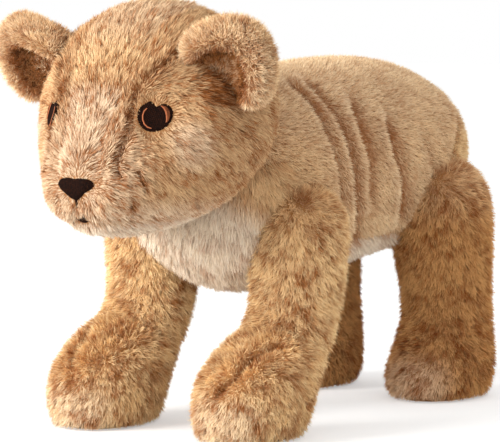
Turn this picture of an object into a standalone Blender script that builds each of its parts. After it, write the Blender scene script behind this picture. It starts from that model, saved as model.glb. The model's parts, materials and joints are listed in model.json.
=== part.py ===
"""Plush lion cub, standing: sewn skins, the stuffing inside them and the embroidered face.

Metres, +Z up. The cub faces -Y and its left side is +X. The origin is on the ground,
under the middle of the whole toy."""

import math

import bmesh
import bpy
from mathutils import Matrix, Vector

# Cloth and clearances
FABRIC = 0.003
SEAM_GAP = 0.0004
STUFFING_INSET = 0.0035
JOINT_GAP = 0.0008
OVERRUN = 0.02

# Neck joint, which the head turns and nods on
NECK_Y = -0.0435
NECK_Z = 0.1575
HEAD_TURN = math.radians(20)
NECK_TILT = math.radians(28)
NECK_SLACK = 0.0025
NECK_BALL_RADIUS = 0.026
NECK_STEM_RADIUS = 0.018
STEM_SLACK_SHARE = 0.25
STEM_CAP_SHARES = (0.0, 0.5, 1.0)
COLLAR_STEPS = 5

# Torso, measured from the neck joint
CHEST_RADIUS = 0.067
TORSO_LENGTH = 0.2275
TORSO_HALF_WIDTH = 0.062
BACK_RISE = 0.0755
BELLY_DROP = 0.0725
# Angle round from the front of the chest, how far its underside hangs past the dome
CHEST_SHARES = ((27, 0.0), (60, 0.05), (90, 0.09))
# Along to the rump, width, top, bottom
TORSO_SHARES = (
    (0.18, 1.03, 0.945, 1.00),
    (0.38, 1.01, 0.99, 0.90),
    (0.60, 1.01, 1.00, 0.81),
    (0.79, 1.00, 0.94, 0.75),
    (0.92, 0.84, 0.73, 0.62),
    (0.985, 0.48, 0.44, 0.36),
)
BELLY_SEAM_SHARE = 0.56
CHEST_SEAM_FORWARD = 0.017
CHEST_SEAM_RISE = 0.0145

# Head, measured from the neck joint
HEAD_REACH = 0.1555
HEAD_LENGTH = 0.1455
HEAD_HALF_WIDTH = 0.0715
HEAD_HEIGHT = 0.1425
CHIN_DROP = 0.0265
# Along from the muzzle to the back of the head, width, top, bottom
HEAD_SHARES = (
    (-0.035, 0.14, 0.290, 0.140),
    (0.000, 0.29, 0.375, 0.080),
    (0.050, 0.41, 0.475, 0.040),
    (0.110, 0.55, 0.620, 0.010),
    (0.180, 0.69, 0.775, 0.000),
    (0.300, 0.87, 0.925, 0.000),
    (0.480, 1.00, 1.000, 0.020),
    (0.670, 1.00, 0.985, 0.070),
    (0.830, 0.88, 0.900, 0.155),
    (0.945, 0.62, 0.760, 0.280),
)
HEAD_SQUARENESS = 2.25
GUSSET_HALF_WIDTH = 0.028
# Along the head, half width
GUSSET_SHARES = ((-0.10, 0.45), (0.06, 0.50), (0.20, 0.88), (0.55, 1.00), (1.10, 0.75))
GUSSET_LOW_SHARE = 0.161
CHIN_SEAM_SHARES = (0.053, 0.126)

# Eyes, nose and mouth, embroidered on the head
THREAD_LIFT = 0.0003
THREAD_DEPTH = 0.0013
IRIS_DEPTH = 0.0007
# Places on the head: across, along from the muzzle, up from the chin
EYE_SHARES = (0.545, 0.172, 0.526)
NOSE_SHARES = (0.0, 0.0, 0.235)
MOUTH_SHARES = (0.0, 0.0, 0.098)
EYE_WIDTH = 0.0225
EYE_HEIGHT = 0.0195
EYE_TURN = math.radians(38)
EYE_LEAN = math.radians(8)
IRIS_RADIUS_SHARE = 0.56
IRIS_WIDTH = 0.0022
IRIS_HALF_ANGLE = math.radians(52)
IRIS_TAPER_SHARE = 0.8
IRIS_STEPS = 5
NOSE_WIDTH = 0.0265
NOSE_HEIGHT = 0.0140
NOSE_LEAN = math.radians(15)
# Across from the middle, up from the middle
NOSE_OUTLINE_SHARES = (
    (0.00, 0.46), (0.22, 0.50), (0.40, 0.40), (0.50, 0.20),
    (0.42, -0.02), (0.24, -0.24), (0.09, -0.44), (0.00, -0.50),
)
PHILTRUM_WIDTH = 0.0014
PHILTRUM_LENGTH = 0.0075
MOUTH_WIDTH = 0.0078
MOUTH_HEIGHT = 0.0046

# Ears
EAR_ROOT_SHARES = (0.912, 0.426, 0.712)
HEAD_MIDDLE_SHARES = (0.0, 0.5, 0.5)
EAR_SEAM_DIRECTION = (0.68, 0.40, -0.60)
EAR_HALF_WIDTH = 0.0275
EAR_HEIGHT = 0.040
EAR_CUP = 0.013
EAR_CUP_REST_SHARE = 0.35
EAR_HUB_SHARE = 0.12
EAR_BACK_THICKNESS = 0.0042
EAR_LINING_THICKNESS = 0.0038
EAR_ROLL_RADIUS = 0.0072
EAR_ROLL_LENGTH = 0.042
# Radius, and how far in from the roll's end
EAR_ROLL_END_SHARES = ((0.0, 0.0), (0.7, 0.0), (1.0, 0.4))
EAR_RINGS = 3
EAR_SPOKES = 6

# Legs: one side, mirrored for the other
FRONT_LEG_X = 0.0575
HIND_LEG_X = 0.0540
LEG_SWING = math.radians(12)
LEG_SQUARENESS = 2.2
LEG_SIDE_GAP = 0.0008
LEG_SWEEP_GAP = 0.0013
LEG_ROOM_LOW_SHARE = 0.4
FRONT_LEG_Y = -0.0485
FRONT_JOINT_Z = 0.126
FRONT_HALF_WIDTH = 0.0275
FRONT_HALF_DEPTH = 0.0285
FRONT_PAW_FORWARD = 0.0555
FRONT_PAW_HALF_WIDTH = 0.0325
FRONT_PAW_HALF_LENGTH = 0.0425
HIND_LEG_Y = 0.1265
HIND_JOINT_Z = 0.128
HIND_HALF_WIDTH = 0.030
HIND_HALF_DEPTH = 0.034
HIND_HOCK_BACK = 0.012
HIND_PAW_HALF_WIDTH = 0.0325
HIND_PAW_HALF_LENGTH = 0.0420
# The leg's top is round about its joint, so that it turns in place
HIP_ANGLES = (math.radians(62), math.radians(28))
# Height, forward or back, width, depth: shaft rows scale the leg, paw rows the paw
FRONT_SHAFT_SHARES = (
    (1.000, 0.00, 1.13, 1.15),
    (0.760, 0.00, 1.00, 1.02),
    (0.530, 0.06, 0.93, 0.88),
)
FRONT_PAW_SHARES = (
    (0.410, 0.56, 0.97, 0.95),
    (0.280, 0.86, 1.06, 1.08),
    (0.085, 0.95, 1.00, 0.99),
    (0.010, 0.935, 0.79, 0.825),
)
HIND_SHAFT_SHARES = (
    (1.000, 0.00, 1.14, 1.13),
    (0.740, 0.60, 1.00, 0.98),
    (0.460, 1.04, 0.88, 0.82),
)
HIND_PAW_SHARES = (
    (0.290, 0.70, 0.93, 0.86),
    (0.160, 0.20, 1.02, 0.99),
    (0.065, 0.08, 0.98, 0.99),
    (0.010, 0.08, 0.80, 0.84),
)
SOLE_THICKNESS = 0.0026
SOLE_ROUND = 0.0010
SOLE_CLEARANCE = 0.0014

# Tail, which hangs from the rump
TAIL_ROOT_RISE = 0.0205
TAIL_ROOT_SINK = 0.0045
TAIL_BALL_RADIUS = 0.0085
TAIL_RADIUS = 0.0065
TAIL_BACK = 0.0145
TAIL_DROP = 0.086
TAIL_BALL_ANGLES = (math.radians(150), math.radians(100), math.radians(50))
TAIL_BEND_STEPS = 4
TUFT_LENGTH = 0.040
TUFT_RADIUS = 0.0115
# Down the tuft, radius
TUFT_SHARES = ((0.0, 0.62), (0.2, 0.9), (0.5, 1.0), (0.8, 0.72), (0.97, 0.3))

# How finely round things are cut
TORSO_SIDES = 10
HEAD_SIDES = 12
LEG_SIDES = 6
SOLE_SIDES = 12
SMALL_SIDES = 10
EYE_SIDES = 16
TURNED_STEPS = 18
BALL_STEPS = 3
SMALL_BALL_STEPS = 2

FABRIC_COLOURS = {
    "tan_plush": ((0.60, 0.38, 0.19), 0.95),
    "gold_plush": ((0.49, 0.28, 0.12), 0.95),
    "cream_plush": ((0.76, 0.61, 0.46), 0.95),
    "black_thread": ((0.018, 0.009, 0.008), 0.6),
    "copper_thread": ((0.52, 0.17, 0.06), 0.55),
    "fibre_fill": ((0.88, 0.88, 0.86), 1.0),
}

X, Y, Z = Vector((1, 0, 0)), Vector((0, 1, 0)), Vector((0, 0, 1))
NECK = Vector((0, NECK_Y, NECK_Z))
NECK_LINE = Vector((0, -math.cos(NECK_TILT), math.sin(NECK_TILT)))
NECK_STEM_REACH = CHEST_RADIUS + NECK_SLACK * STEM_SLACK_SHARE
HEAD_FRONT_Y = NECK_Y - HEAD_REACH
CHIN_Z = NECK_Z - CHIN_DROP
CROWN_Z = CHIN_Z + HEAD_HEIGHT
RUMP_Y = NECK_Y + TORSO_LENGTH
BELLY_SEAM_Z = NECK_Z - BELLY_DROP * BELLY_SEAM_SHARE
TAIL_ROOT = Vector((0, RUMP_Y - TAIL_ROOT_SINK, NECK_Z + TAIL_ROOT_RISE))


def clear_scene():
    for old in list(bpy.data.objects):
        bpy.data.objects.remove(old, do_unlink=True)


def make_collection(name):
    made = bpy.data.collections.new(name)
    bpy.context.scene.collection.children.link(made)
    return made


def make_material(name):
    colour, roughness = FABRIC_COLOURS[name]
    material = bpy.data.materials.new(name)
    material.use_nodes = True
    shader = material.node_tree.nodes["Principled BSDF"]
    shader.inputs["Base Color"].default_value = (*colour, 1)
    shader.inputs["Roughness"].default_value = roughness
    material.diffuse_color = (*colour, 1)
    return material


def place(name, mesh, material=None):
    """A part with a material, or a cutter without one."""
    mesh.shade_smooth()
    obj = bpy.data.objects.new(name, mesh)
    if material:
        mesh.materials.append(MATERIALS[material])
        PARTS.objects.link(obj)
    else:
        obj.hide_render = True
        obj.display_type = "WIRE"
        CUTTERS.objects.link(obj)
    return obj


def mesh_of(bm, name):
    mesh = bpy.data.meshes.new(name)
    bm.to_mesh(mesh)
    bm.free()
    return mesh


def oval(centre, across, along, half_across, half_along, count, squareness=2.0, phase=0.5):
    """A closed ring of points. A squareness over 2 fills its corners."""
    points = []
    for step in range(count):
        turn = math.tau * (step + phase) / count
        c, s = math.cos(turn), math.sin(turn)
        reach = (abs(c) ** squareness + abs(s) ** squareness) ** (-1 / squareness)
        points.append(centre + (across * half_across * c + along * half_along * s) * reach)
    return points


def soft_oval(centre, across, along, half_across, half_along, count, squareness=2.0):
    """A ring that one subdivision draws in to its stated size."""
    grown = 8 / (6 + 2 * math.cos(math.tau / count))
    half_sides = (half_across * grown, half_along * grown)
    return oval(centre, across, along, *half_sides, count, squareness)


def loft(name, rings, open_end=False):
    """Walls from ring to ring, closed at both ends unless the last is left open."""
    bm = bmesh.new()
    rows = [[bm.verts.new(point) for point in ring] for ring in rings]
    for row, following in zip(rows, rows[1:]):
        for i in range(len(row)):
            j = (i + 1) % len(row)
            bm.faces.new((row[i], row[j], following[j], following[i]))
    bm.faces.new(rows[0])
    last = bm.faces.new(rows[-1])
    bmesh.ops.recalc_face_normals(bm, faces=bm.faces)
    if open_end:
        bm.faces.remove(last)
    return mesh_of(bm, name)


def prism(name, outline, lift, low, high):
    """A block: an outline of flat points, lifted into place from low to high."""
    bm = bmesh.new()
    below = [bm.verts.new(lift(a, b, low)) for a, b in outline]
    above = [bm.verts.new(lift(a, b, high)) for a, b in outline]
    bm.faces.new(below)
    bm.faces.new(above)
    for i in range(len(outline)):
        j = (i + 1) % len(outline)
        bm.faces.new((below[i], below[j], above[j], above[i]))
    bmesh.ops.recalc_face_normals(bm, faces=bm.faces)
    return mesh_of(bm, name)


def ball(name, centre, radius, steps=BALL_STEPS):
    bm = bmesh.new()
    spot = Matrix.Translation(centre)
    bmesh.ops.create_icosphere(bm, subdivisions=steps, radius=radius, matrix=spot)
    return mesh_of(bm, name)


def turned(name, profile, centre, direction, material=None):
    """A profile of (radius, height) pairs, top to bottom, turned about a line."""
    bm = bmesh.new()
    verts = [bm.verts.new((radius, 0, height)) for radius, height in profile]
    for first, second in zip(verts, verts[1:]):
        bm.edges.new((first, second))
    obj = place(name, mesh_of(bm, name), material)
    obj.location = centre
    obj.rotation_euler = direction.to_track_quat("Z", "Y").to_euler()
    screw = obj.modifiers.new("Turn", "SCREW")
    screw.steps = screw.render_steps = TURNED_STEPS
    screw.use_merge_vertices = True
    screw.merge_threshold = 0.00001
    return obj


def soften(obj):
    smooth = obj.modifiers.new("Soften", "SUBSURF")
    smooth.levels = smooth.render_levels = 1
    return obj


def give_wall(obj, thickness=FABRIC, offset=-1):
    wall = obj.modifiers.new("Wall", "SOLIDIFY")
    wall.thickness = thickness
    wall.offset = offset
    return obj


def grow(obj, distance):
    grown = obj.modifiers.new("Grow", "DISPLACE")
    grown.strength = distance
    grown.mid_level = 0
    return obj


def boolean(obj, other, operation, solver="EXACT"):
    step = obj.modifiers.new(f"{operation.title()} {other.name}", "BOOLEAN")
    step.operation = operation
    step.solver = solver
    step.object = other
    return obj


def cut(obj, *others, solver="EXACT"):
    for other in others:
        boolean(obj, other, "DIFFERENCE", solver)
    return obj


def keep(obj, other):
    return boolean(obj, other, "INTERSECT")


def hollow(obj, *others):
    """Thin curved walls, which the exact solver loses here, so the manifold one cuts them."""
    return cut(obj, *others, solver="MANIFOLD")


def plan(a, b, c):
    return Vector((a, b, c))


def from_side(a, b, c):
    return Vector((c, a, b))


# Torso


def torso_rings():
    """The chest's dome about the neck joint, then the body back to the rump."""
    rings = []
    for degrees, hang in CHEST_SHARES:
        angle = math.radians(degrees)
        reach = CHEST_RADIUS * math.sin(angle)
        hang_depth = CHEST_RADIUS * hang
        centre = NECK - Y * CHEST_RADIUS * math.cos(angle) - Z * hang_depth / 2
        rings.append(soft_oval(centre, X, Z, reach, reach + hang_depth / 2, TORSO_SIDES))
    for along, width, top, bottom in TORSO_SHARES:
        high = BACK_RISE * top
        low = BELLY_DROP * bottom
        centre = NECK + Y * TORSO_LENGTH * along + Z * (high - low) / 2
        half_width = TORSO_HALF_WIDTH * width
        rings.append(soft_oval(centre, X, Z, half_width, (high + low) / 2, TORSO_SIDES))
    return rings


def torso_form(name, growth=0.0, material=None):
    return grow(soften(place(name, loft(name, torso_rings()), material)), growth)


def belly_region(name, margin):
    """Seen from the side: the front of the chest and the whole underside."""
    seam_y = NECK_Y - CHEST_SEAM_FORWARD + margin
    seam_z = NECK_Z + CHEST_SEAM_RISE + margin
    outline = (
        (seam_y, seam_z),
        (seam_y, BELLY_SEAM_Z + margin),
        (RUMP_Y + OVERRUN, BELLY_SEAM_Z + margin),
        (RUMP_Y + OVERRUN, -OVERRUN),
        (NECK_Y - CHEST_RADIUS - OVERRUN, -OVERRUN),
        (NECK_Y - CHEST_RADIUS - OVERRUN, seam_z),
    )
    reach = TORSO_HALF_WIDTH + OVERRUN
    return place(name, prism(name, outline, from_side, -reach, reach))


def neck_opening():
    """Room for the neck's stem as the head turns: a cone along the turned stem's side."""
    reach = NECK_STEM_RADIUS + JOINT_GAP
    across, along = math.cos(HEAD_TURN), math.sin(HEAD_TURN)
    profile = []
    for length in (CHEST_RADIUS + OVERRUN, math.sqrt(NECK_BALL_RADIUS**2 - reach**2)):
        profile.append((reach * across + length * along, length * across - reach * along))
    (_, top), (_, bottom) = profile
    profile = ((0, top), *profile, (0, bottom))
    return turned("neck_opening_cutter", profile, NECK, NECK_LINE)


def skin_opening():
    """The hole in the chest's skins that the turning stem needs."""
    far = CHEST_RADIUS + OVERRUN
    near = NECK_BALL_RADIUS + JOINT_GAP
    swept = math.asin(NECK_STEM_RADIUS / CHEST_RADIUS) + HEAD_TURN
    radius = CHEST_RADIUS * math.sin(swept) + NECK_SLACK
    profile = ((0, far), (radius, far), (radius, near), (0, near))
    return turned("skin_opening_cutter", profile, NECK, NECK_LINE)


def neck_stuffing():
    """A ball in the chest with a short stem that reaches the head's stuffing."""
    cap = math.asin(NECK_STEM_RADIUS / NECK_STEM_REACH)
    collar = math.asin(NECK_STEM_RADIUS / NECK_BALL_RADIUS)
    profile = []
    for share in STEM_CAP_SHARES:
        turn = cap * share
        profile.append((NECK_STEM_REACH * math.sin(turn), NECK_STEM_REACH * math.cos(turn)))
    for step in range(COLLAR_STEPS + 1):
        turn = collar + (math.pi - collar) * step / COLLAR_STEPS
        profile.append((NECK_BALL_RADIUS * math.sin(turn), NECK_BALL_RADIUS * math.cos(turn)))
    profile[-1] = (0, -NECK_BALL_RADIUS)
    turned("neck_stuffing", profile, NECK, NECK_LINE, "fibre_fill")


def make_torso(leg_rooms, tail_room):
    opening = skin_opening()
    inner = torso_form("torso_inner_form", -FABRIC)
    skin = torso_form("torso_skin", 0.0, "tan_plush")
    hollow(skin, belly_region("belly_seam_cutter", SEAM_GAP), inner)
    hollow(skin, opening, *leg_rooms, tail_room)
    belly = torso_form("belly_panel", 0.0, "cream_plush")
    keep(belly, belly_region("belly_region", 0.0))
    hollow(belly, inner, opening, *leg_rooms)
    core = torso_form("torso_stuffing", -STUFFING_INSET, "fibre_fill")
    name = "neck_ball_cutter"
    socket = place(name, ball(name, NECK, NECK_BALL_RADIUS + JOINT_GAP))
    cut(core, socket, neck_opening(), *leg_rooms, tail_room)


# Head


def head_place(shares, side=1):
    """A place given across, along and up the head."""
    across, along, up = shares
    y = HEAD_FRONT_Y + HEAD_LENGTH * along
    return Vector((HEAD_HALF_WIDTH * across * side, y, CHIN_Z + HEAD_HEIGHT * up))


def head_rings():
    rings = []
    for along, width, top, bottom in HEAD_SHARES:
        centre = head_place((0, along, (top + bottom) / 2))
        half_sides = (HEAD_HALF_WIDTH * width, HEAD_HEIGHT * (top - bottom) / 2)
        rings.append(soft_oval(centre, X, Z, *half_sides, HEAD_SIDES, HEAD_SQUARENESS))
    return rings


def head_form(name, growth=0.0, material=None):
    """The head's whole outer shape, grown or shrunk."""
    return grow(soften(place(name, loft(name, head_rings()), material)), growth)


def gusset_region(name, margin):
    right = []
    for along, width in GUSSET_SHARES:
        y = HEAD_FRONT_Y + HEAD_LENGTH * along
        right.append((GUSSET_HALF_WIDTH * width + margin, y))
    outline = right + [(-x, y) for x, y in reversed(right)]
    low = CHIN_Z + HEAD_HEIGHT * GUSSET_LOW_SHARE - margin
    return place(name, prism(name, outline, plan, low, CROWN_Z + OVERRUN))


def chin_region(name, margin):
    front = HEAD_FRONT_Y - OVERRUN
    rear = HEAD_FRONT_Y + HEAD_LENGTH + OVERRUN
    low = CHIN_Z - OVERRUN
    front_z, rear_z = (CHIN_Z + HEAD_HEIGHT * share + margin for share in CHIN_SEAM_SHARES)
    outline = ((front, low), (rear, low), (rear, rear_z), (front, front_z))
    reach = HEAD_HALF_WIDTH + OVERRUN
    return place(name, prism(name, outline, from_side, -reach, reach))


def side_region(name, side):
    far = HEAD_HALF_WIDTH + OVERRUN
    near = SEAM_GAP / 2
    front = HEAD_FRONT_Y - OVERRUN
    rear = HEAD_FRONT_Y + HEAD_LENGTH + OVERRUN
    outline = [(side * x, y) for x, y in ((near, front), (far, front), (far, rear), (near, rear))]
    return place(name, prism(name, outline, plan, CHIN_Z - OVERRUN, CROWN_Z + OVERRUN))


def head_panel(name, material, region, cutters):
    hollow(keep(head_form(name, 0.0, material), region), *cutters)


def make_head(ear_rooms):
    name = "head_socket_cutter"
    socket = place(name, ball(name, NECK, CHEST_RADIUS + NECK_SLACK))
    inner = head_form("head_inner_form", -FABRIC)
    gusset = gusset_region("gusset_region", 0.0)
    gusset_room = gusset_region("gusset_seam_cutter", SEAM_GAP)
    chin = chin_region("chin_region", 0.0)
    chin_room = chin_region("chin_seam_cutter", SEAM_GAP)
    head_panel("forehead_gusset", "tan_plush", gusset, (socket, *ear_rooms, inner))
    head_panel("chin_panel", "cream_plush", chin, (socket, inner))
    for word, side in (("left", 1), ("right", -1)):
        region = side_region(f"{word}_face_region", side)
        cutters = (gusset_room, chin_room, socket, *ear_rooms, inner)
        head_panel(f"{word}_face_panel", "tan_plush", region, cutters)
    core = head_form("head_stuffing", -STUFFING_INSET, "fibre_fill")
    cut(core, socket, *ear_rooms)


# Embroidery


def layer(name, mesh, material, outer, inner):
    """What a block shares with a thin layer over the head."""
    return cut(keep(place(name, mesh, material), outer), inner)


def facing(origin, turn, lean, side):
    """Lifts flat points onto a plane that faces forward, turned outwards and leant back."""
    normal = Vector((math.sin(turn) * side, -math.cos(turn), 0)) * math.cos(lean)
    normal += Z * math.sin(lean)
    across = Z.cross(normal).normalized()
    up = normal.cross(across)
    return lambda a, b, c: origin + across * a + up * b + normal * c


def spread(outline, height):
    """A flat outline grown by a seam's gap."""
    scale = 1 + 2 * SEAM_GAP / height
    return [(a * scale, b * scale) for a, b in outline]


def ellipse_outline(width, height, count):
    points = []
    for step in range(count):
        turn = math.tau * step / count
        points.append((width / 2 * math.cos(turn), height / 2 * math.sin(turn)))
    return points


def crescent_outline(side):
    """A curved band beside the pupil, thickest in its middle."""
    radius = EYE_WIDTH / 2 * IRIS_RADIUS_SHARE
    tall = EYE_HEIGHT / EYE_WIDTH
    outer, inner = [], []
    for step in range(IRIS_STEPS + 1):
        share = 2 * step / IRIS_STEPS - 1
        turn = IRIS_HALF_ANGLE * share
        swell = IRIS_WIDTH * (1 - IRIS_TAPER_SHARE * share * share)
        c, s = math.cos(turn) * side, math.sin(turn) * tall
        outer.append(((radius + swell) * c, (radius + swell) * s))
        inner.append((radius * c, radius * s))
    return outer + inner[::-1]


def make_face():
    thread_top = THREAD_LIFT + THREAD_DEPTH
    outer = head_form("thread_top_form", thread_top)
    inner = head_form("thread_base_form", THREAD_LIFT)
    iris_outer = head_form("iris_top_form", thread_top + THREAD_LIFT + IRIS_DEPTH)
    iris_inner = head_form("iris_base_form", thread_top + THREAD_LIFT)
    for word, side in (("left", 1), ("right", -1)):
        lift = facing(head_place(EYE_SHARES, side), EYE_TURN, EYE_LEAN, side)
        outline = ellipse_outline(EYE_WIDTH, EYE_HEIGHT, EYE_SIDES)
        name = f"{word}_eye"
        block = prism(name, outline, lift, -OVERRUN, OVERRUN)
        layer(name, block, "black_thread", outer, inner)
        for where, edge in (("inner", -side), ("outer", side)):
            name = f"{word}_{where}_iris"
            block = prism(name, crescent_outline(edge), lift, -OVERRUN, OVERRUN)
            layer(name, block, "copper_thread", iris_outer, iris_inner)

    nose_place = head_place(NOSE_SHARES)
    lift = facing(nose_place, 0.0, NOSE_LEAN, 1)
    right = [(NOSE_WIDTH * a, NOSE_HEIGHT * b) for a, b in NOSE_OUTLINE_SHARES]
    outline = right + [(-a, b) for a, b in right[-2:0:-1]]
    nose = prism("nose", outline, lift, -OVERRUN, OVERRUN)
    layer("nose", nose, "black_thread", outer, inner)
    name = "nose_room"
    room = prism(name, spread(outline, NOSE_HEIGHT), lift, -OVERRUN, OVERRUN)
    nose_room = place(name, room)

    mouth_place = head_place(MOUTH_SHARES)
    lift = facing(mouth_place, 0.0, 0.0, 1)
    outline = ellipse_outline(MOUTH_WIDTH, MOUTH_HEIGHT, SMALL_SIDES)
    mouth = prism("mouth", outline, lift, -OVERRUN, OVERRUN)
    layer("mouth", mouth, "black_thread", outer, inner)
    name = "mouth_room"
    room = prism(name, spread(outline, MOUTH_HEIGHT), lift, -OVERRUN, OVERRUN)
    mouth_room = place(name, room)

    half = PHILTRUM_WIDTH / 2
    high = nose_place.z - mouth_place.z
    low = high - NOSE_HEIGHT / 2 - PHILTRUM_LENGTH
    outline = ((half, low), (half, high), (-half, high), (-half, low))
    stitch = prism("philtrum_stitch", outline, lift, -OVERRUN, OVERRUN)
    stitch = layer("philtrum_stitch", stitch, "black_thread", outer, inner)
    cut(stitch, nose_room, mouth_room)


# Ears


def ear_frame(side):
    """The ear's root, its seam's direction, its upward and its forward direction."""
    root = head_place(EAR_ROOT_SHARES, side)
    across, along, down = EAR_SEAM_DIRECTION
    seam = Vector((across * side, along, down)).normalized()
    middle = head_place(HEAD_MIDDLE_SHARES)
    outward = root - middle
    up = (outward - seam * outward.dot(seam)).normalized()
    forward = seam.cross(up) * side
    return root, seam, up, forward


def ear_sheet(name, side, thickness, offset, lift):
    """A cupped half disc above the seam, lifted and then thickened to one side."""
    root, seam, up, forward = ear_frame(side)
    bm = bmesh.new()
    rows = []
    for ring in range(EAR_RINGS + 1):
        reach = EAR_HUB_SHARE + (1 - EAR_HUB_SHARE) * ring / EAR_RINGS
        row = []
        for spoke in range(EAR_SPOKES + 1):
            turn = math.pi * spoke / EAR_SPOKES
            across = EAR_HALF_WIDTH * reach * math.cos(turn)
            rise = EAR_HEIGHT * reach * math.sin(turn)
            bow = (across / EAR_HALF_WIDTH) ** 2
            cup = EAR_CUP * bow * (EAR_CUP_REST_SHARE + math.sin(turn))
            row.append(bm.verts.new(root + seam * across + up * rise + forward * cup))
        rows.append(row)
    for row, following in zip(rows, rows[1:]):
        for i in range(EAR_SPOKES):
            bm.faces.new((row[i], row[i + 1], following[i + 1], following[i]))
    bmesh.ops.recalc_face_normals(bm, faces=bm.faces)
    bm.normal_update()
    if sum((face.normal.dot(forward) for face in bm.faces), 0.0) < 0:
        bmesh.ops.reverse_faces(bm, faces=bm.faces)
    sheet = grow(soften(place(name, mesh_of(bm, name), "tan_plush")), lift)
    return give_wall(sheet, thickness, offset)


def ear_roll(name, side, radius, length):
    root, seam, _, _ = ear_frame(side)
    end = [(radius * out, length / 2 - radius * inward) for out, inward in EAR_ROLL_END_SHARES]
    profile = end + [(out, -height) for out, height in reversed(end)]
    return turned(name, profile, root, seam)


def make_ear(word, side):
    """Returns the room that the head leaves for the ear's rolled root."""
    roll = ear_roll(f"{word}_ear_roll", side, EAR_ROLL_RADIUS, EAR_ROLL_LENGTH)
    room_radius = EAR_ROLL_RADIUS + JOINT_GAP
    room_length = EAR_ROLL_LENGTH + 2 * JOINT_GAP
    room = ear_roll(f"{word}_ear_room", side, room_radius, room_length)
    back = ear_sheet(f"{word}_ear_back", side, EAR_BACK_THICKNESS, -1, 0.0)
    boolean(back, roll, "UNION")
    cut(ear_sheet(f"{word}_ear_lining", side, EAR_LINING_THICKNESS, 1, SEAM_GAP), room)
    return room


# Legs


def leg_sizes(front):
    if front:
        return (
            FRONT_LEG_X, FRONT_LEG_Y, FRONT_JOINT_Z, FRONT_HALF_WIDTH, FRONT_HALF_DEPTH,
            FRONT_PAW_FORWARD, FRONT_PAW_HALF_WIDTH, FRONT_PAW_HALF_LENGTH,
            FRONT_SHAFT_SHARES, FRONT_PAW_SHARES,
        )
    return (
        HIND_LEG_X, HIND_LEG_Y, HIND_JOINT_Z, HIND_HALF_WIDTH, HIND_HALF_DEPTH,
        -HIND_HOCK_BACK, HIND_PAW_HALF_WIDTH, HIND_PAW_HALF_LENGTH,
        HIND_SHAFT_SHARES, HIND_PAW_SHARES,
    )


def leg_joint(front, side):
    x, y, z = leg_sizes(front)[:3]
    return Vector((x * side, y, z))


def leg_sections(front, side):
    """(centre, half width, half depth) down the leg and through the paw."""
    sizes = leg_sizes(front)
    half_width, half_depth, forward, paw_width, paw_length, shaft, paw = sizes[3:]
    joint = leg_joint(front, side)
    _, _, hip_width, hip_depth = shaft[0]
    sections = []
    for angle in HIP_ANGLES:
        centre = joint + Z * half_depth * hip_depth * math.sin(angle)
        reach = math.cos(angle)
        sections.append((centre, half_width * hip_width * reach, half_depth * hip_depth * reach))
    for rows, wide, deep in ((shaft, half_width, half_depth), (paw, paw_width, paw_length)):
        for height, ahead, width, depth in rows:
            centre = Vector((joint.x, joint.y - forward * ahead, joint.z * height))
            sections.append((centre, wide * width, deep * depth))
    return sections


def leg_ring(centre, half_width, half_depth):
    return soft_oval(centre, X, Y, half_width, half_depth, LEG_SIDES, LEG_SQUARENESS)


def leg_room(name, front, side):
    """The space that the leg sweeps inside the torso."""
    joint = leg_joint(front, side)
    rings = []
    for centre, half_width, half_depth in leg_sections(front, side):
        if centre.z < joint.z * LEG_ROOM_LOW_SHARE:
            break
        wide = half_width + LEG_SIDE_GAP
        deep = half_depth + LEG_SIDE_GAP + LEG_SWEEP_GAP
        if centre.z > joint.z:
            centre = centre + Z * (LEG_SIDE_GAP + LEG_SWEEP_GAP)
        elif centre.z < joint.z:
            wide += LEG_SWEEP_GAP
            deep += (joint.z - centre.z) * math.tan(LEG_SWING)
        rings.append(leg_ring(centre, wide, deep))
    return soften(place(name, loft(name, rings)))


def make_leg(word, front, side):
    sections = leg_sections(front, side)
    rings = [leg_ring(*section) for section in sections]
    skin_name = f"{word}_leg"
    give_wall(soften(place(skin_name, loft(skin_name, rings, open_end=True), "gold_plush")))
    core_name = f"{word}_leg_stuffing"
    core = soften(place(core_name, loft(core_name, rings), "fibre_fill"))
    grow(core, -STUFFING_INSET)
    foot, half_width, half_depth = sections[-1]
    wide = half_width - FABRIC - SOLE_CLEARANCE
    deep = half_depth - FABRIC - SOLE_CLEARANCE
    sole_name = f"{word}_sole"
    rings = []
    for z, inset in ((0.0, SOLE_ROUND), (SOLE_ROUND, 0.0), (SOLE_THICKNESS, 0.0)):
        centre = Vector((foot.x, foot.y, z))
        half_sides = (wide - inset, deep - inset)
        rings.append(oval(centre, X, Y, *half_sides, SOLE_SIDES, LEG_SQUARENESS, 0.0))
    place(sole_name, loft(sole_name, rings), "gold_plush")


# Tail


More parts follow.
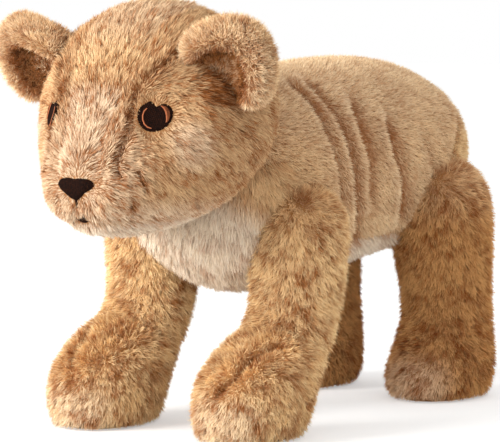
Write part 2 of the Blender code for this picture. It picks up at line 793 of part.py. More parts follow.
def make_tail():
    """Returns the room that the rump leaves for the tail's root."""
    rings = []
    for angle in TAIL_BALL_ANGLES:
        reach = TAIL_BALL_RADIUS * math.sin(angle)
        centre = TAIL_ROOT + Y * TAIL_BALL_RADIUS * math.cos(angle)
        rings.append(oval(centre, X, Z, reach, reach, SMALL_SIDES))
    for step in range(1, TAIL_BEND_STEPS + 1):
        angle = math.pi / 2 * step / TAIL_BEND_STEPS
        across = Z * math.cos(angle) + Y * math.sin(angle)
        centre = TAIL_ROOT + (Y * math.sin(angle) - Z * (1 - math.cos(angle))) * TAIL_BACK
        rings.append(oval(centre, X, across, TAIL_RADIUS, TAIL_RADIUS, SMALL_SIDES))
    end = TAIL_ROOT + Y * TAIL_BACK - Z * TAIL_DROP
    rings.append(oval(end, X, Y, TAIL_RADIUS, TAIL_RADIUS, SMALL_SIDES))
    place("tail", loft("tail", rings), "tan_plush")
    rings = []
    for down, reach in TUFT_SHARES:
        centre = end - Z * (SEAM_GAP + TUFT_LENGTH * down)
        radius = TUFT_RADIUS * reach
        rings.append(oval(centre, X, Y, radius, radius, SMALL_SIDES))
    place("tail_tuft", loft("tail_tuft", rings), "gold_plush")
    name = "tail_room"
    room = ball(name, TAIL_ROOT, TAIL_BALL_RADIUS + JOINT_GAP, SMALL_BALL_STEPS)
    return place(name, room)


# Joints


def hang_from(name, centre, carrier, children):
    """An empty on a joint's axis, with the pieces that move about it."""
    empty = bpy.data.objects.new(name, None)
    PARTS.objects.link(empty)
    empty.matrix_world = Matrix.Translation(centre)
    if carrier:
        empty.parent = carrier
        empty.matrix_parent_inverse = carrier.matrix_world.inverted()
    for child_name in children:
        child = bpy.data.objects[child_name]
        child.parent = empty
        child.matrix_parent_inverse = Matrix.Translation(-centre)
    return empty


def join_bodies(legs):
    torso = hang_from("torso_origin", NECK, None, TORSO_PIECES)
    neck = hang_from("head_turn_pivot", NECK, torso, ("neck_stuffing",))
    head = hang_from("head_nod_pivot", NECK, neck, HEAD_PIECES)
    for word, side in (("left", 1), ("right", -1)):
        pieces = (f"{word}_ear_back", f"{word}_ear_lining")
        hang_from(f"{word}_ear_pivot", ear_frame(side)[0], head, pieces)
    for word, front, side in legs:
        pieces = (f"{word}_leg", f"{word}_leg_stuffing", f"{word}_sole")
        hang_from(f"{word}_leg_pivot", leg_joint(front, side), torso, pieces)
    hang_from("tail_pivot", TAIL_ROOT, torso, ("tail", "tail_tuft"))


TORSO_PIECES = ("torso_skin", "belly_panel", "torso_stuffing")
HEAD_PIECES = (
    "forehead_gusset", "chin_panel", "left_face_panel", "right_face_panel", "head_stuffing",
    "left_eye", "left_inner_iris", "left_outer_iris",
    "right_eye", "right_inner_iris", "right_outer_iris",
    "nose", "philtrum_stitch", "mouth",
)


def make_lion():
    legs = (
        ("front_left", True, 1),
        ("front_right", True, -1),
        ("hind_left", False, 1),
        ("hind_right", False, -1),
    )
    rooms = []
    for word, front, side in legs:
        make_leg(word, front, side)
        rooms.append(leg_room(f"{word}_leg_room", front, side))
    tail_room = make_tail()
    make_torso(rooms, tail_room)
    neck_stuffing()
    ear_rooms = [make_ear("left", 1), make_ear("right", -1)]
    make_head(ear_rooms)
    make_face()
    join_bodies(legs)


clear_scene()
PARTS = make_collection("plush_lion")
CUTTERS = make_collection("cutters")
MATERIALS = {name: make_material(name) for name in FABRIC_COLOURS}
make_lion()
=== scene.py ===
"""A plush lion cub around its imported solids: stuffed cloth forms, their pile and the stitched face.

Metres, +Z up. The cub faces -Y and its left side is +X."""

import json
import math

import bmesh
import bpy
import numpy as np
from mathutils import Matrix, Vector
from mathutils.bvhtree import BVHTree

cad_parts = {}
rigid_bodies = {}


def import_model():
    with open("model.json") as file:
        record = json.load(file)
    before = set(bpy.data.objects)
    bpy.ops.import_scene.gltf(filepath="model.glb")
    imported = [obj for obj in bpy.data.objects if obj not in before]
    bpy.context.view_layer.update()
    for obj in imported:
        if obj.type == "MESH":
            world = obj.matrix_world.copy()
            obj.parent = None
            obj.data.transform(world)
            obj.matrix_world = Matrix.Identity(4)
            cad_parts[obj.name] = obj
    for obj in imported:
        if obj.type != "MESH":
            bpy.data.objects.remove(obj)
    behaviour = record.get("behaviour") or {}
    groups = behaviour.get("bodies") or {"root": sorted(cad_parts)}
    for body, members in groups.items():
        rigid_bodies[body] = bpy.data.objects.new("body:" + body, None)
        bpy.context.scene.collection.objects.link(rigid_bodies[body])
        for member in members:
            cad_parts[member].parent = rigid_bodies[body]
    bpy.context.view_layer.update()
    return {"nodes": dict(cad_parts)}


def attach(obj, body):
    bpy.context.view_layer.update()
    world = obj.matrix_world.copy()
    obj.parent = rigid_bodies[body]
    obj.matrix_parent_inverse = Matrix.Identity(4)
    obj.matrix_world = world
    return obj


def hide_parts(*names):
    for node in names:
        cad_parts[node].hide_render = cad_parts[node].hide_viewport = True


for start_object in list(bpy.data.objects):
    bpy.data.objects.remove(start_object)
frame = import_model()
NODES = frame["nodes"]

SIDES = (("left", 1), ("right", -1))
LEGS = ("front_left", "front_right", "hind_left", "hind_right")

# The photograph's camera
VIEW_AZIMUTH = math.radians(35)
VIEW_ELEVATION = math.radians(4.5)
VIEW_DISTANCE = 2.0
VIEW_TARGET = Vector((0, 0, 0.14))
METRES_PER_PIXEL = 0.00066
IMAGE_WIDTH, IMAGE_HEIGHT = 500, 442
TARGET_PIXEL = (268, 201.5)
SENSOR = 36.0

# Colours, as light reflected in linear red, green and blue
# Each root colour is darker than its tip: partly the pile's own tone, partly painted shade down among the
# roots
TAN_ROOT = (0.380, 0.155, 0.045)
TAN_TIP = (0.880, 0.600, 0.320)
GOLD_ROOT = (0.620, 0.310, 0.100)
GOLD_TIP = (0.990, 0.770, 0.440)
# Painted shade: the hind legs' gold, darker and more orange than the front legs', as if out of the light; the
# tail tuft's dark pile takes the same colours
HIND_SHADE_AND_TUFT_ROOT = (0.360, 0.125, 0.026)
HIND_SHADE_AND_TUFT_TIP = (0.840, 0.500, 0.200)
CREAM_ROOT = (0.640, 0.450, 0.270)
CREAM_TIP = (0.930, 0.810, 0.650)
# The backing under the pile: its own colour, kept dark as painted shade between the strands
BACKING = (0.420, 0.210, 0.080)
BODY_ROOT = (0.600, 0.330, 0.150)
BODY_TIP = (0.990, 0.770, 0.480)
FACE_ROOT = (0.330, 0.130, 0.040)
FACE_TIP = (0.730, 0.490, 0.260)
SOLE_DARK = (0.200, 0.090, 0.035)
SOLE_LIGHT = (0.480, 0.270, 0.120)
# Thread colours in pairs: the dark one is painted shade in the ply's grooves, the light one painted highlight
# on its crests
BLACK_PLY_SHADE = (0.006, 0.0025, 0.0018)
BLACK_PLY_HIGHLIGHT = (0.026, 0.008, 0.004)
COPPER_PLY_SHADE = (0.100, 0.028, 0.010)
COPPER_PLY_HIGHLIGHT = (0.210, 0.062, 0.022)
SALMON_PLY_SHADE = (0.400, 0.120, 0.050)
SALMON_PLY_HIGHLIGHT = (0.560, 0.190, 0.085)
SEAM_PLY_SHADE = (0.240, 0.110, 0.045)
SEAM_PLY_HIGHLIGHT = (0.480, 0.260, 0.120)
FLOOR_GREY = (0.80, 0.80, 0.79)
# What a colour is multiplied by where it is painted darker: the warm tint of the shade between strands
SHADE_TINT = (0.96, 0.46, 0.19)

SIMULATED_FRAMES = 20
MOST_STRANDS = 97000


# Meshes

WELD_DISTANCE = 0.00002


def mm(sizes):
    """Millimetres as metres: one size, or a whole table of them."""
    if isinstance(sizes, tuple):
        return tuple(mm(size) for size in sizes)
    return sizes * 0.001


def points_of(mesh):
    flat = np.empty(len(mesh.vertices) * 3, np.float32)
    mesh.vertices.foreach_get("co", flat)
    return flat.reshape(-1, 3).astype(float)


def normals_of(mesh):
    flat = np.empty(len(mesh.vertices) * 3, np.float32)
    mesh.vertex_normals.foreach_get("vector", flat)
    return flat.reshape(-1, 3).astype(float)


def set_points(mesh, points):
    mesh.vertices.foreach_set("co", points.astype(np.float32).ravel())
    mesh.update()


def surface_of(obj):
    """An object's points and their normals."""
    return points_of(obj.data), normals_of(obj.data)


def put(name, mesh):
    obj = bpy.data.objects.new(name, mesh)
    bpy.context.scene.collection.objects.link(obj)
    return obj


def apply_modifiers(obj):
    bpy.context.view_layer.update()
    graph = bpy.context.evaluated_depsgraph_get()
    mesh = bpy.data.meshes.new_from_object(obj.evaluated_get(graph), depsgraph=graph)
    obj.modifiers.clear()
    obj.data = mesh
    mesh.name = obj.name
    return obj


def mesh_of(bm, name):
    mesh = bpy.data.meshes.new(name)
    bm.to_mesh(mesh)
    bm.free()
    return mesh


def joined_nodes(name, node_names):
    """Copies of CAD nodes in one mesh, with their loose triangles merged."""
    bm = bmesh.new()
    for node_name in node_names:
        bm.from_mesh(NODES[node_name].data)
    bmesh.ops.remove_doubles(bm, verts=bm.verts, dist=WELD_DISTANCE)
    mesh = mesh_of(bm, name)
    mesh.materials.clear()
    return mesh


def tree_of(obj):
    return BVHTree.FromPolygons(
        [v.co[:] for v in obj.data.vertices], [p.vertices[:] for p in obj.data.polygons]
    )


def gaps_to_nodes(points, node_names):
    """For each node, how far each point lies from it."""
    return np.stack([distances(points, tree_of(NODES[name])) for name in node_names])


def distances(points, tree):
    return np.array([tree.find_nearest(p)[3] for p in points])


def depths_inside(points, tree):
    """How deep each point lies inside a closed form, below zero outside it."""
    depths = np.empty(len(points))
    for i, point in enumerate(points):
        spot, normal, _, distance = tree.find_nearest(point)
        outwards = (Vector(point) - spot).dot(normal)
        depths[i] = -distance if outwards > 0 else distance
    return depths


def set_attribute(mesh, name, values):
    kind = "FLOAT" if values.ndim == 1 else "FLOAT_VECTOR"
    attribute = mesh.attributes.get(name) or mesh.attributes.new(name, kind, "POINT")
    field = "value" if values.ndim == 1 else "vector"
    attribute.data.foreach_set(field, values.astype(np.float32).ravel())


def unit(vectors):
    lengths = np.linalg.norm(vectors, axis=1, keepdims=True)
    return vectors / np.maximum(lengths, 1e-9)


def along_surface(vectors, normals):
    """Vectors made one long and laid flat, and shorter where little is left of them."""
    vectors = unit(vectors)
    flat = vectors - normals * (vectors * normals).sum(1, keepdims=True)
    length = np.linalg.norm(flat, axis=1, keepdims=True)
    return unit(flat) * np.minimum(1, length * length * 1.8)


def ease(values, low, high):
    share = np.clip((values - low) / (high - low), 0, 1)
    return share * share * (3 - 2 * share)


def from_path(points, path):
    """Each point's offset from a line through several places, and its distance."""
    nearest = np.full(len(points), np.inf)
    offsets = np.zeros_like(points)
    for a, b in zip(path, path[1:]):
        a, b = np.array(a, float), np.array(b, float)
        step = b - a
        share = np.clip(((points - a) @ step) / (step @ step), 0, 1)
        offset = points - a - share[:, None] * step
        gap = np.linalg.norm(offset, axis=1)
        offsets[gap < nearest] = offset[gap < nearest]
        nearest = np.minimum(nearest, gap)
    return offsets, nearest


# Stuffed forms


def stuffed(name, node_names, voxel, smoothing, pressure=4.0, most_swell=0.003, finer=1):
    """CAD solids made one closed cloth form, blown up by a cloth simulation and rounded."""
    obj = put(name, joined_nodes(name, node_names))
    remesh = obj.modifiers.new("Even mesh", "REMESH")
    remesh.mode = "VOXEL"
    remesh.voxel_size = voxel
    smooth = obj.modifiers.new("Round off", "SMOOTH")
    smooth.factor = 0.5
    smooth.iterations = smoothing
    apply_modifiers(obj)
    plump(obj, pressure, most_swell)
    divide = obj.modifiers.new("Finer", "SUBSURF")
    divide.levels = divide.render_levels = finer
    apply_modifiers(obj)
    obj.data.shade_smooth()
    return obj


def plump(obj, pressure, most_swell):
    """Blows the cloth up from inside, and caps how far each point moves."""
    rest = points_of(obj.data)
    scene = bpy.context.scene
    scene.frame_set(1)
    cloth = obj.modifiers.new("Stuffing", "CLOTH")
    cloth.settings.use_pressure = True
    cloth.settings.uniform_pressure_force = pressure
    cloth.settings.effector_weights.gravity = 0
    cloth.settings.quality = 5
    cloth.point_cache.frame_start = 1
    cloth.point_cache.frame_end = SIMULATED_FRAMES
    for number in range(SIMULATED_FRAMES):
        scene.frame_set(number + 1)
    apply_modifiers(obj)
    scene.frame_set(1)
    moved = points_of(obj.data) - rest
    lengths = np.linalg.norm(moved, axis=1, keepdims=True)
    moved *= np.minimum(1, most_swell / np.maximum(lengths, 1e-9))
    set_points(obj.data, rest + moved)


def bell(distance, width):
    """1 at no distance, falling off to nothing past a width."""
    return np.exp(-((distance / width) ** 2))


def crease(points, normals, path, width, depth):
    """Presses a fold in along a path, with its cloth pushed up on both sides.
    Returns how deep in it each point is."""
    gap = from_path(points, path)[1]
    groove = bell(gap, width)
    banks = bell(gap - 2.0 * width, width)
    points -= normals * (groove * depth - banks * depth * 0.35)[:, None]
    return groove


def sag(points, normals, path, width, depth):
    """A hanging fold: a ridge in front, a steep fall behind it and a slow rise to the rear.
    Returns how deep in it each point is, and how far up its ridge."""
    offsets, gap = from_path(points, path)
    behind = offsets[:, 1] > 0
    groove = bell(gap, np.where(behind, width * 1.7, width * 0.6))
    ridge = np.where(behind, 0, bell(gap - 1.5 * width, width * 0.9))
    points -= normals * (groove * depth * 0.80 - ridge * depth * 0.34)[:, None]
    return groove, ridge


def swell(points, normals, centre, radii, height):
    """Raises a soft bump, or a hollow with a height below zero."""
    offset = (points - np.array(centre)) / np.array(radii)
    points += normals * (np.exp(-(offset**2).sum(1)) * height)[:, None]


def seam_depth(points, node_names, width):
    """1 on a seam between two panels, falling off to both sides."""
    gaps = np.sort(gaps_to_nodes(points, node_names), axis=0)
    return bell(gaps[1] - gaps[0], width)


# Shader nodes


def input_of(node, key):
    """A node's input by its name, or by its number as in _1."""
    if key.startswith("_"):
        return node.inputs[int(key[1:])]
    name = key.replace("_", " ")
    shown = [s for s in node.inputs if s.enabled and s.name == name]
    return shown[0] if shown else node.inputs[name]


class Tree:
    """Adds nodes to a node tree and links them by their socket names."""

    def __init__(self, tree):
        self.tree = tree

    def add(self, kind, settings=None, **inputs):
        node = self.tree.nodes.new(kind)
        for key, value in (settings or {}).items():
            setattr(node, key, value)
        self.set(node, **inputs)
        return node

    def set(self, node, **inputs):
        for key, value in inputs.items():
            self.feed(input_of(node, key), value)

    def feed(self, socket, value):
        if isinstance(value, bpy.types.Node):
            value = next(s for s in value.outputs if s.enabled)
        if isinstance(value, bpy.types.NodeSocket):
            self.tree.links.new(value, socket)
        elif socket.type == "RGBA" and len(value) == 3:
            socket.default_value = (*value, 1)
        else:
            socket.default_value = value

    def math(self, operation, first, second=0.0, clamp=False):
        return self.add("ShaderNodeMath", {"operation": operation, "use_clamp": clamp}, _0=first, _1=second)

    def line(self, value, slope, start):
        """A value times a slope, plus a start."""
        return self.add("ShaderNodeMath", {"operation": "MULTIPLY_ADD"}, _0=value, _1=slope, _2=start)

    def vector(self, operation, first, second):
        node = self.add("ShaderNodeVectorMath", {"operation": operation}, _0=first)
        self.feed(node.inputs["Scale" if operation == "SCALE" else 1], second)
        return node

    def mix(self, share, first, second):
        """A colour between two others. A mix node's inputs 6 and 7 and output 2 are its colours."""
        node = self.add("ShaderNodeMix", {"data_type": "RGBA"}, _6=first, _7=second)
        self.feed(node.inputs["Factor"], share)
        return node.outputs[2]

    def attribute(self, name):
        """A mesh attribute in a shader."""
        return self.add("ShaderNodeAttribute", {"attribute_name": name}).outputs["Fac"]

    def named(self, name, kind="FLOAT"):
        """A mesh attribute in a geometry tree."""
        node = self.add("GeometryNodeInputNamedAttribute", {"data_type": kind}, Name=name)
        return node.outputs["Attribute"]

    def store(self, geometry, name, value, kind="FLOAT", domain="POINT"):
        settings = {"data_type": kind, "domain": domain}
        node = self.add("GeometryNodeStoreNamedAttribute", settings, Geometry=geometry, Name=name)
        self.feed(next(s for s in node.inputs if s.name == "Value" and s.enabled), value)
        return node.outputs["Geometry"]


SOCKET_KINDS = {tuple: "Color", float: "Float", int: "Int"}


def new_sockets(tree, inputs, outputs):
    """Inputs by name, each with its usual value or else its kind, and outputs by name with their kinds."""
    for name, value in inputs.items():
        kind = SOCKET_KINDS.get(type(value), value)
        socket = tree.interface.new_socket(name=name, in_out="INPUT", socket_type=f"NodeSocket{kind}")
        if kind != value:
            socket.default_value = (*value, 1) if kind == "Color" else value
    for name, kind in outputs.items():
        tree.interface.new_socket(name=name, in_out="OUTPUT", socket_type=f"NodeSocket{kind}")


def set_inputs(modifier, tree, values):
    for item in tree.interface.items_tree:
        if item.in_out == "INPUT" and item.name in values:
            modifier[item.identifier] = values[item.name]


# Materials

RISE_POWER = 0.7
FOLD_SHADE = -0.40
LEAST_LIGHT, MOST_LIGHT = 0.12, 1.15
TINT_GAIN = 2.1
PILE_ROUGHNESS = 0.95
LOW_SPECULAR = 0.08
PILE_SHEEN = 0.06
SHEEN_ROUGHNESS = 0.5
KNIT_SCALE = 900.0
FINE_KNIT_SCALE = 1400.0
KNIT_DEPTH = 0.0006
PLY_DEPTH = 0.0002
FUZZ_SCALE = 900.0


def pile_colour_group():
    """A strand's colour from root to tip, with tufts, mottling and paler places (some of them painted
    highlight), and painted shade where the fold attribute is high.
    """
    group = bpy.data.node_groups.new("pile_colour", "ShaderNodeTree")
    usual = {
        "Root": TAN_ROOT, "Tip": TAN_TIP, "Pale Root": CREAM_ROOT, "Pale Tip": CREAM_TIP,
        "Gold Root": GOLD_ROOT, "Gold Tip": GOLD_TIP,
        "Tuft Contrast": 0.3, "Strand Contrast": 0.3, "Mottle Scale": 60.0, "Mottle": 0.3,
    }
    new_sockets(group, usual, {"Color": "Color", "Roughness": "Float"})
    t = Tree(group)
    given = t.add("NodeGroupInput").outputs
    place = t.add("ShaderNodeTexCoord").outputs["Object"]
    gold = t.attribute("gold")
    pale = t.attribute("pale")
    root = t.mix(pale, t.mix(gold, given["Root"], given["Gold Root"]), given["Pale Root"])
    tip = t.mix(pale, t.mix(gold, given["Tip"], given["Gold Tip"]), given["Pale Tip"])
    # Root to tip, darker at the roots: partly the pile's own tone, partly painted shade
    colour = t.mix(t.math("POWER", t.attribute("rise"), RISE_POWER), root, tip)
    noise = t.add("ShaderNodeTexNoise", Vector=place, Scale=given["Mottle Scale"], Detail=3.0, Roughness=0.6)
    # Painted shade: darker where the fold attribute is high, in folds, creases, seams and hollows
    light = t.math("MULTIPLY", t.attribute("fold"), FOLD_SHADE)
    for source, contrast in (
        (t.attribute("chance"), "Strand Contrast"), (t.attribute("tuft"), "Tuft Contrast"),
        (noise.outputs["Fac"], "Mottle"),
    ):
        off_middle = t.math("SUBTRACT", source, 0.5)
        light = t.math("ADD", light, t.math("MULTIPLY", off_middle, given[contrast]))
    light = t.math("MAXIMUM", t.math("ADD", light, 1.0), LEAST_LIGHT)
    # Darker strands take on the warm tint of shade between strands
    shade = t.math("MULTIPLY", t.math("SUBTRACT", 1.0, light), TINT_GAIN, clamp=True)
    colour = t.mix(shade, colour, t.vector("MULTIPLY", colour, SHADE_TINT).outputs[0])
    shaded = t.vector("SCALE", colour, t.math("MINIMUM", light, MOST_LIGHT))
    roughness = t.line(t.attribute("chance"), -0.12, PILE_ROUGHNESS)
    t.add("NodeGroupOutput", Color=shaded.outputs[0], Roughness=roughness)
    return group


def new_material(name):
    material = bpy.data.materials.new(name)
    material.use_nodes = True
    t = Tree(material.node_tree)
    return material, t, material.node_tree.nodes["Principled BSDF"]


def pile_material(name, mottle_scale, mottle, strand, tuft, **colours):
    """Pile, with how its colour varies from place to place, strand to strand and tuft to tuft."""
    material, t, shader = new_material(name)
    colour = t.add("ShaderNodeGroup", {"node_tree": PILE_COLOUR}, **colours, Mottle_Scale=mottle_scale,
                   Mottle=mottle, Strand_Contrast=strand, Tuft_Contrast=tuft)
    t.set(shader, Base_Color=colour.outputs["Color"], Roughness=colour.outputs["Roughness"],
          Specular_IOR_Level=LOW_SPECULAR, Sheen_Weight=PILE_SHEEN, Sheen_Roughness=SHEEN_ROUGHNESS)
    return material


def backing_material(name, dark, light, scale=KNIT_SCALE):
    """Knitted backing cloth with the roots of the pile in it."""
    material, t, shader = new_material(name)
    place = t.add("ShaderNodeTexCoord").outputs["Object"]
    knit = t.add("ShaderNodeTexVoronoi", Vector=place, Scale=scale)
    patches = t.add("ShaderNodeTexNoise", Vector=place, Scale=scale / 12, Detail=4.0)
    share = t.math("MULTIPLY", knit.outputs["Distance"], patches.outputs["Fac"])
    share = t.math("MULTIPLY", share, 1.6, clamp=True)
    bump = t.add("ShaderNodeBump", Strength=0.6, Distance=KNIT_DEPTH, Height=knit.outputs["Distance"])
    t.set(shader, Base_Color=t.mix(share, dark, light), Normal=bump.outputs["Normal"],
          Roughness=t.line(patches.outputs["Fac"], 0.15, 0.8))
    return material


def thread_material(name, dark, light, gloss):
    """Embroidery thread, with a slanting ply round each strand that follows the attribute twist. Along the
    ply its colour runs from painted shade in the grooves to painted highlight on the crests, broken up by
    uneven tone.
    """
    material, t, shader = new_material(name)
    place = t.add("ShaderNodeTexCoord").outputs["Object"]
    ply = t.line(t.math("SINE", t.math("MULTIPLY", t.attribute("twist"), math.tau)), 0.5, 0.5)
    fuzz = t.add("ShaderNodeTexNoise", Vector=place, Scale=FUZZ_SCALE, Detail=3.0).outputs["Fac"]
    share = t.math("MULTIPLY", t.math("ADD", ply, 0.4), t.line(fuzz, 3.0, -1.0), clamp=True)
    bump = t.add("ShaderNodeBump", Strength=0.5, Distance=PLY_DEPTH, Height=ply)
    t.set(shader, Base_Color=t.mix(share, dark, light), Roughness=t.line(fuzz, 0.3, 1 - gloss),
          Specular_IOR_Level=LOW_SPECULAR, Normal=bump.outputs["Normal"])
    return material


PILE_COLOUR = pile_colour_group()
BODY_PILE = pile_material("body_pile", 40.0, 0.55, 0.24, 0.14, Root=BODY_ROOT, Tip=BODY_TIP)
FACE_PILE = pile_material("face_pile", 130.0, 0.50, 0.60, 0.46, Root=FACE_ROOT, Tip=FACE_TIP)
EAR_PILE = pile_material("ear_pile", 60.0, 0.50, 0.44, 0.36, Root=TAN_ROOT, Tip=BODY_TIP)
LEG_PILE = pile_material("leg_pile", 75.0, 1.50, 0.42, 0.40)
# The hind legs' pile, its gold darkened as painted shade; the tail tuft wears it too
HIND_SHADE_AND_TUFT_PILE = pile_material(
    "hind_pile", 75.0, 1.50, 0.42, 0.40, Root=BODY_ROOT, Tip=BODY_TIP, Gold_Root=HIND_SHADE_AND_TUFT_ROOT, Gold_Tip=HIND_SHADE_AND_TUFT_TIP
)
CREAM_PILE = pile_material("cream_pile", 45.0, 0.35, 0.26, 0.20)
# Backing under the pile, dark for its own colour and as painted shade between the strands
TAN_BACKING = backing_material("tan_backing", TAN_ROOT, BACKING)
GOLD_BACKING = backing_material("gold_backing", GOLD_ROOT, BACKING)
SOLE_CLOTH = backing_material("sole_cloth", SOLE_DARK, SOLE_LIGHT, FINE_KNIT_SCALE)
DARK_THREAD = thread_material("dark_thread", BLACK_PLY_SHADE, BLACK_PLY_HIGHLIGHT, 0.25)
COPPER_THREAD = thread_material("copper_thread", COPPER_PLY_SHADE, COPPER_PLY_HIGHLIGHT, 0.45)
SALMON_THREAD = thread_material("salmon_thread", SALMON_PLY_SHADE, SALMON_PLY_HIGHLIGHT, 0.45)
SEAM_THREAD = thread_material("seam_thread", SEAM_PLY_SHADE, SEAM_PLY_HIGHLIGHT, 0.40)


# Pile

# A strand's corners, one high and one wide, with how far up and how far across it each is
STRAND_CORNERS = (
    ((0, 0, 0), 0.0, 0.5),
    ((0.07, -0.5, 0.45), 0.5, 0.0),
    ((0.07, 0.5, 0.45), 0.5, 1.0),
    ((0.30, 0, 0.96), 1.0, 0.5),
)
LOWEST_STRAND = 0.0002
# How far strands differ from the usual length and width, and how far they twist
LENGTH_SPREAD = (0.72, 1.18)
WIDTH_SPREAD = (0.7, 1.3)
TWIST = 0.6
SWAY_SCALE = 55.0
SWAY_GAIN = 4.0
# Room on the map for the strands that a random draw adds
SPARE_CELLS = 1.03


def strand_template():
    """One strand: two triangles that bend where they meet."""
    bm = bmesh.new()
    rise = bm.verts.layers.float.new("rise")
    across = bm.verts.layers.float.new("across")
    verts = []
    for place, height, side in STRAND_CORNERS:
        vert = bm.verts.new(place)
        vert[rise] = height
        vert[across] = side
        verts.append(vert)
    bm.faces.new((verts[0], verts[1], verts[2]))
    bm.faces.new((verts[1], verts[3], verts[2]))
    mesh = mesh_of(bm, "pile_strand")
    mesh.shade_smooth()
    return put("pile_strand", mesh)


def pile_tree():
    """Strands over a skin that lean with its comb attribute, gather in tufts and lie on the ground."""
    tree = bpy.data.node_groups.new("plush_pile", "GeometryNodeTree")
    usual = {
        "Geometry": "Geometry", "Strand": "Object", "Strands per Area": 1e6, "Pile Length": 0.006,
        "Strand Width": 0.0005, "Lean": 1.0, "Unruly": 0.3, "Tuft Size": 0.006, "Tuft Pull": 0.5, "Sway": 0.3,
        "Map Cells": 300.0, "Seed": 0, "Finish": "Material",
    }
    new_sockets(tree, usual, {"Geometry": "Geometry"})
    t = Tree(tree)
    given = t.add("NodeGroupInput").outputs

    def chance(low, high, offset):
        """A number, or a vector, drawn anew for each strand."""
        kind = "FLOAT_VECTOR" if isinstance(low, tuple) else "FLOAT"
        node = t.add("FunctionNodeRandomValue", {"data_type": kind})
        fields = [s for s in node.inputs if s.enabled]
        fields[0].default_value = low
        fields[1].default_value = high
        t.feed(node.inputs["Seed"], t.math("ADD", given["Seed"], offset))
        return next(s for s in node.outputs if s.enabled)

    density = t.math("MULTIPLY", t.named("cover"), given["Strands per Area"])
    spread = t.add("GeometryNodeDistributePointsOnFaces", {"distribute_method": "RANDOM"},
                   Mesh=given["Geometry"], Density=density, Seed=given["Seed"])
    roots = spread.outputs["Points"]
    place = t.add("GeometryNodeInputPosition").outputs[0]
    tufts = t.add("ShaderNodeTexVoronoi", Vector=place, Scale=t.math("DIVIDE", 1.0, given["Tuft Size"]))
    aim = t.vector("SUBTRACT", tufts.outputs["Position"], place)
    aim = t.vector("SCALE", aim, t.math("DIVIDE", given["Tuft Pull"], given["Tuft Size"]))
    drift = t.add("ShaderNodeTexNoise", Vector=place, Scale=SWAY_SCALE, Detail=2.0)
    sway = t.vector("SUBTRACT", drift.outputs["Color"], (0.5, 0.5, 0.5))
    sway = t.vector("SCALE", sway, t.math("MULTIPLY", given["Sway"], SWAY_GAIN))
    comb = t.vector("SCALE", t.named("comb", "FLOAT_VECTOR"), given["Lean"])
    unruly = t.vector("SCALE", chance((-1,) * 3, (1,) * 3, 1), given["Unruly"])
    tip = t.vector("ADD", spread.outputs["Normal"], comb)
    tip = t.vector("ADD", tip, t.vector("ADD", unruly, t.vector("ADD", aim, sway)))
    twist = t.vector("ADD", comb, chance((-TWIST,) * 3, (TWIST,) * 3, 2))
    turn = t.add("FunctionNodeAxesToRotation", {"primary_axis": "Z", "secondary_axis": "X"}, _0=tip, _1=twist)
    length = t.math("MULTIPLY", given["Pile Length"], chance(*LENGTH_SPREAD, 3))
    length = t.math("MULTIPLY", length, t.named("pile"))
    width = t.math("MULTIPLY", given["Strand Width"], chance(*WIDTH_SPREAD, 4))
    size = t.add("ShaderNodeCombineXYZ", X=length, Y=width, Z=length)
    roots = t.store(roots, "cell", t.add("GeometryNodeInputIndex").outputs[0])
    roots = t.store(roots, "chance", chance(0.0, 1.0, 5))
    roots = t.store(roots, "tuft", t.add("ShaderNodeSeparateXYZ", Vector=tufts.outputs["Color"]).outputs[0])
    blade = t.add("GeometryNodeObjectInfo", Object=given["Strand"]).outputs["Geometry"]
    planted = t.add("GeometryNodeInstanceOnPoints", Points=roots, Instance=blade, Rotation=turn, Scale=size)
    real = t.add("GeometryNodeRealizeInstances", Geometry=planted).outputs[0]
    apart = t.add("ShaderNodeSeparateXYZ", Vector=place).outputs
    lifted = t.math("MAXIMUM", apart[2], LOWEST_STRAND)
    above = t.add("ShaderNodeCombineXYZ", X=apart[0], Y=apart[1], Z=lifted)
    real = t.add("GeometryNodeSetPosition", Geometry=real, Position=above).outputs[0]
    cell = t.named("cell")
    column = t.math("MODULO", cell, given["Map Cells"])
    row = t.math("FLOOR", t.math("DIVIDE", cell, given["Map Cells"]))

    def on_map(whole, part):
        """A place inside a strand's own cell of the map, clear of the cell's edge."""
        return t.math("DIVIDE", t.math("ADD", whole, t.line(part, 0.6, 0.2)), given["Map Cells"])

    flat = t.add("ShaderNodeCombineXYZ", X=on_map(column, t.named("across")), Y=on_map(row, t.named("rise")))
    real = t.store(real, "OFBake", flat, "FLOAT2", "CORNER")
    for spare in ("cell", "across", "comb", "cover", "pile"):
        real = t.add("GeometryNodeRemoveAttribute", Geometry=real, Name=spare).outputs[0]
    real = t.add("GeometryNodeSetMaterial", Geometry=real, Material=given["Finish"]).outputs[0]
    t.add("NodeGroupOutput", Geometry=real)
    return tree


STRAND = strand_template()
PILE_TREE = pile_tree()


def area_of(mesh, weights):
    """The mesh's area, each face counted by its points' weights."""
    total = 0.0
    for face in mesh.polygons:
        total += face.area * weights[list(face.vertices)].mean()
    return total


def strand_sizes(length, width, lean, unruly, tuft=6.0, pull=0.5, sway=0.3):
    """A pile's strands, with lengths in millimetres."""
    return {
        "Pile Length": mm(length), "Strand Width": mm(width), "Lean": lean, "Unruly": unruly,
        "Tuft Size": mm(tuft), "Tuft Pull": pull, "Sway": sway,
    }


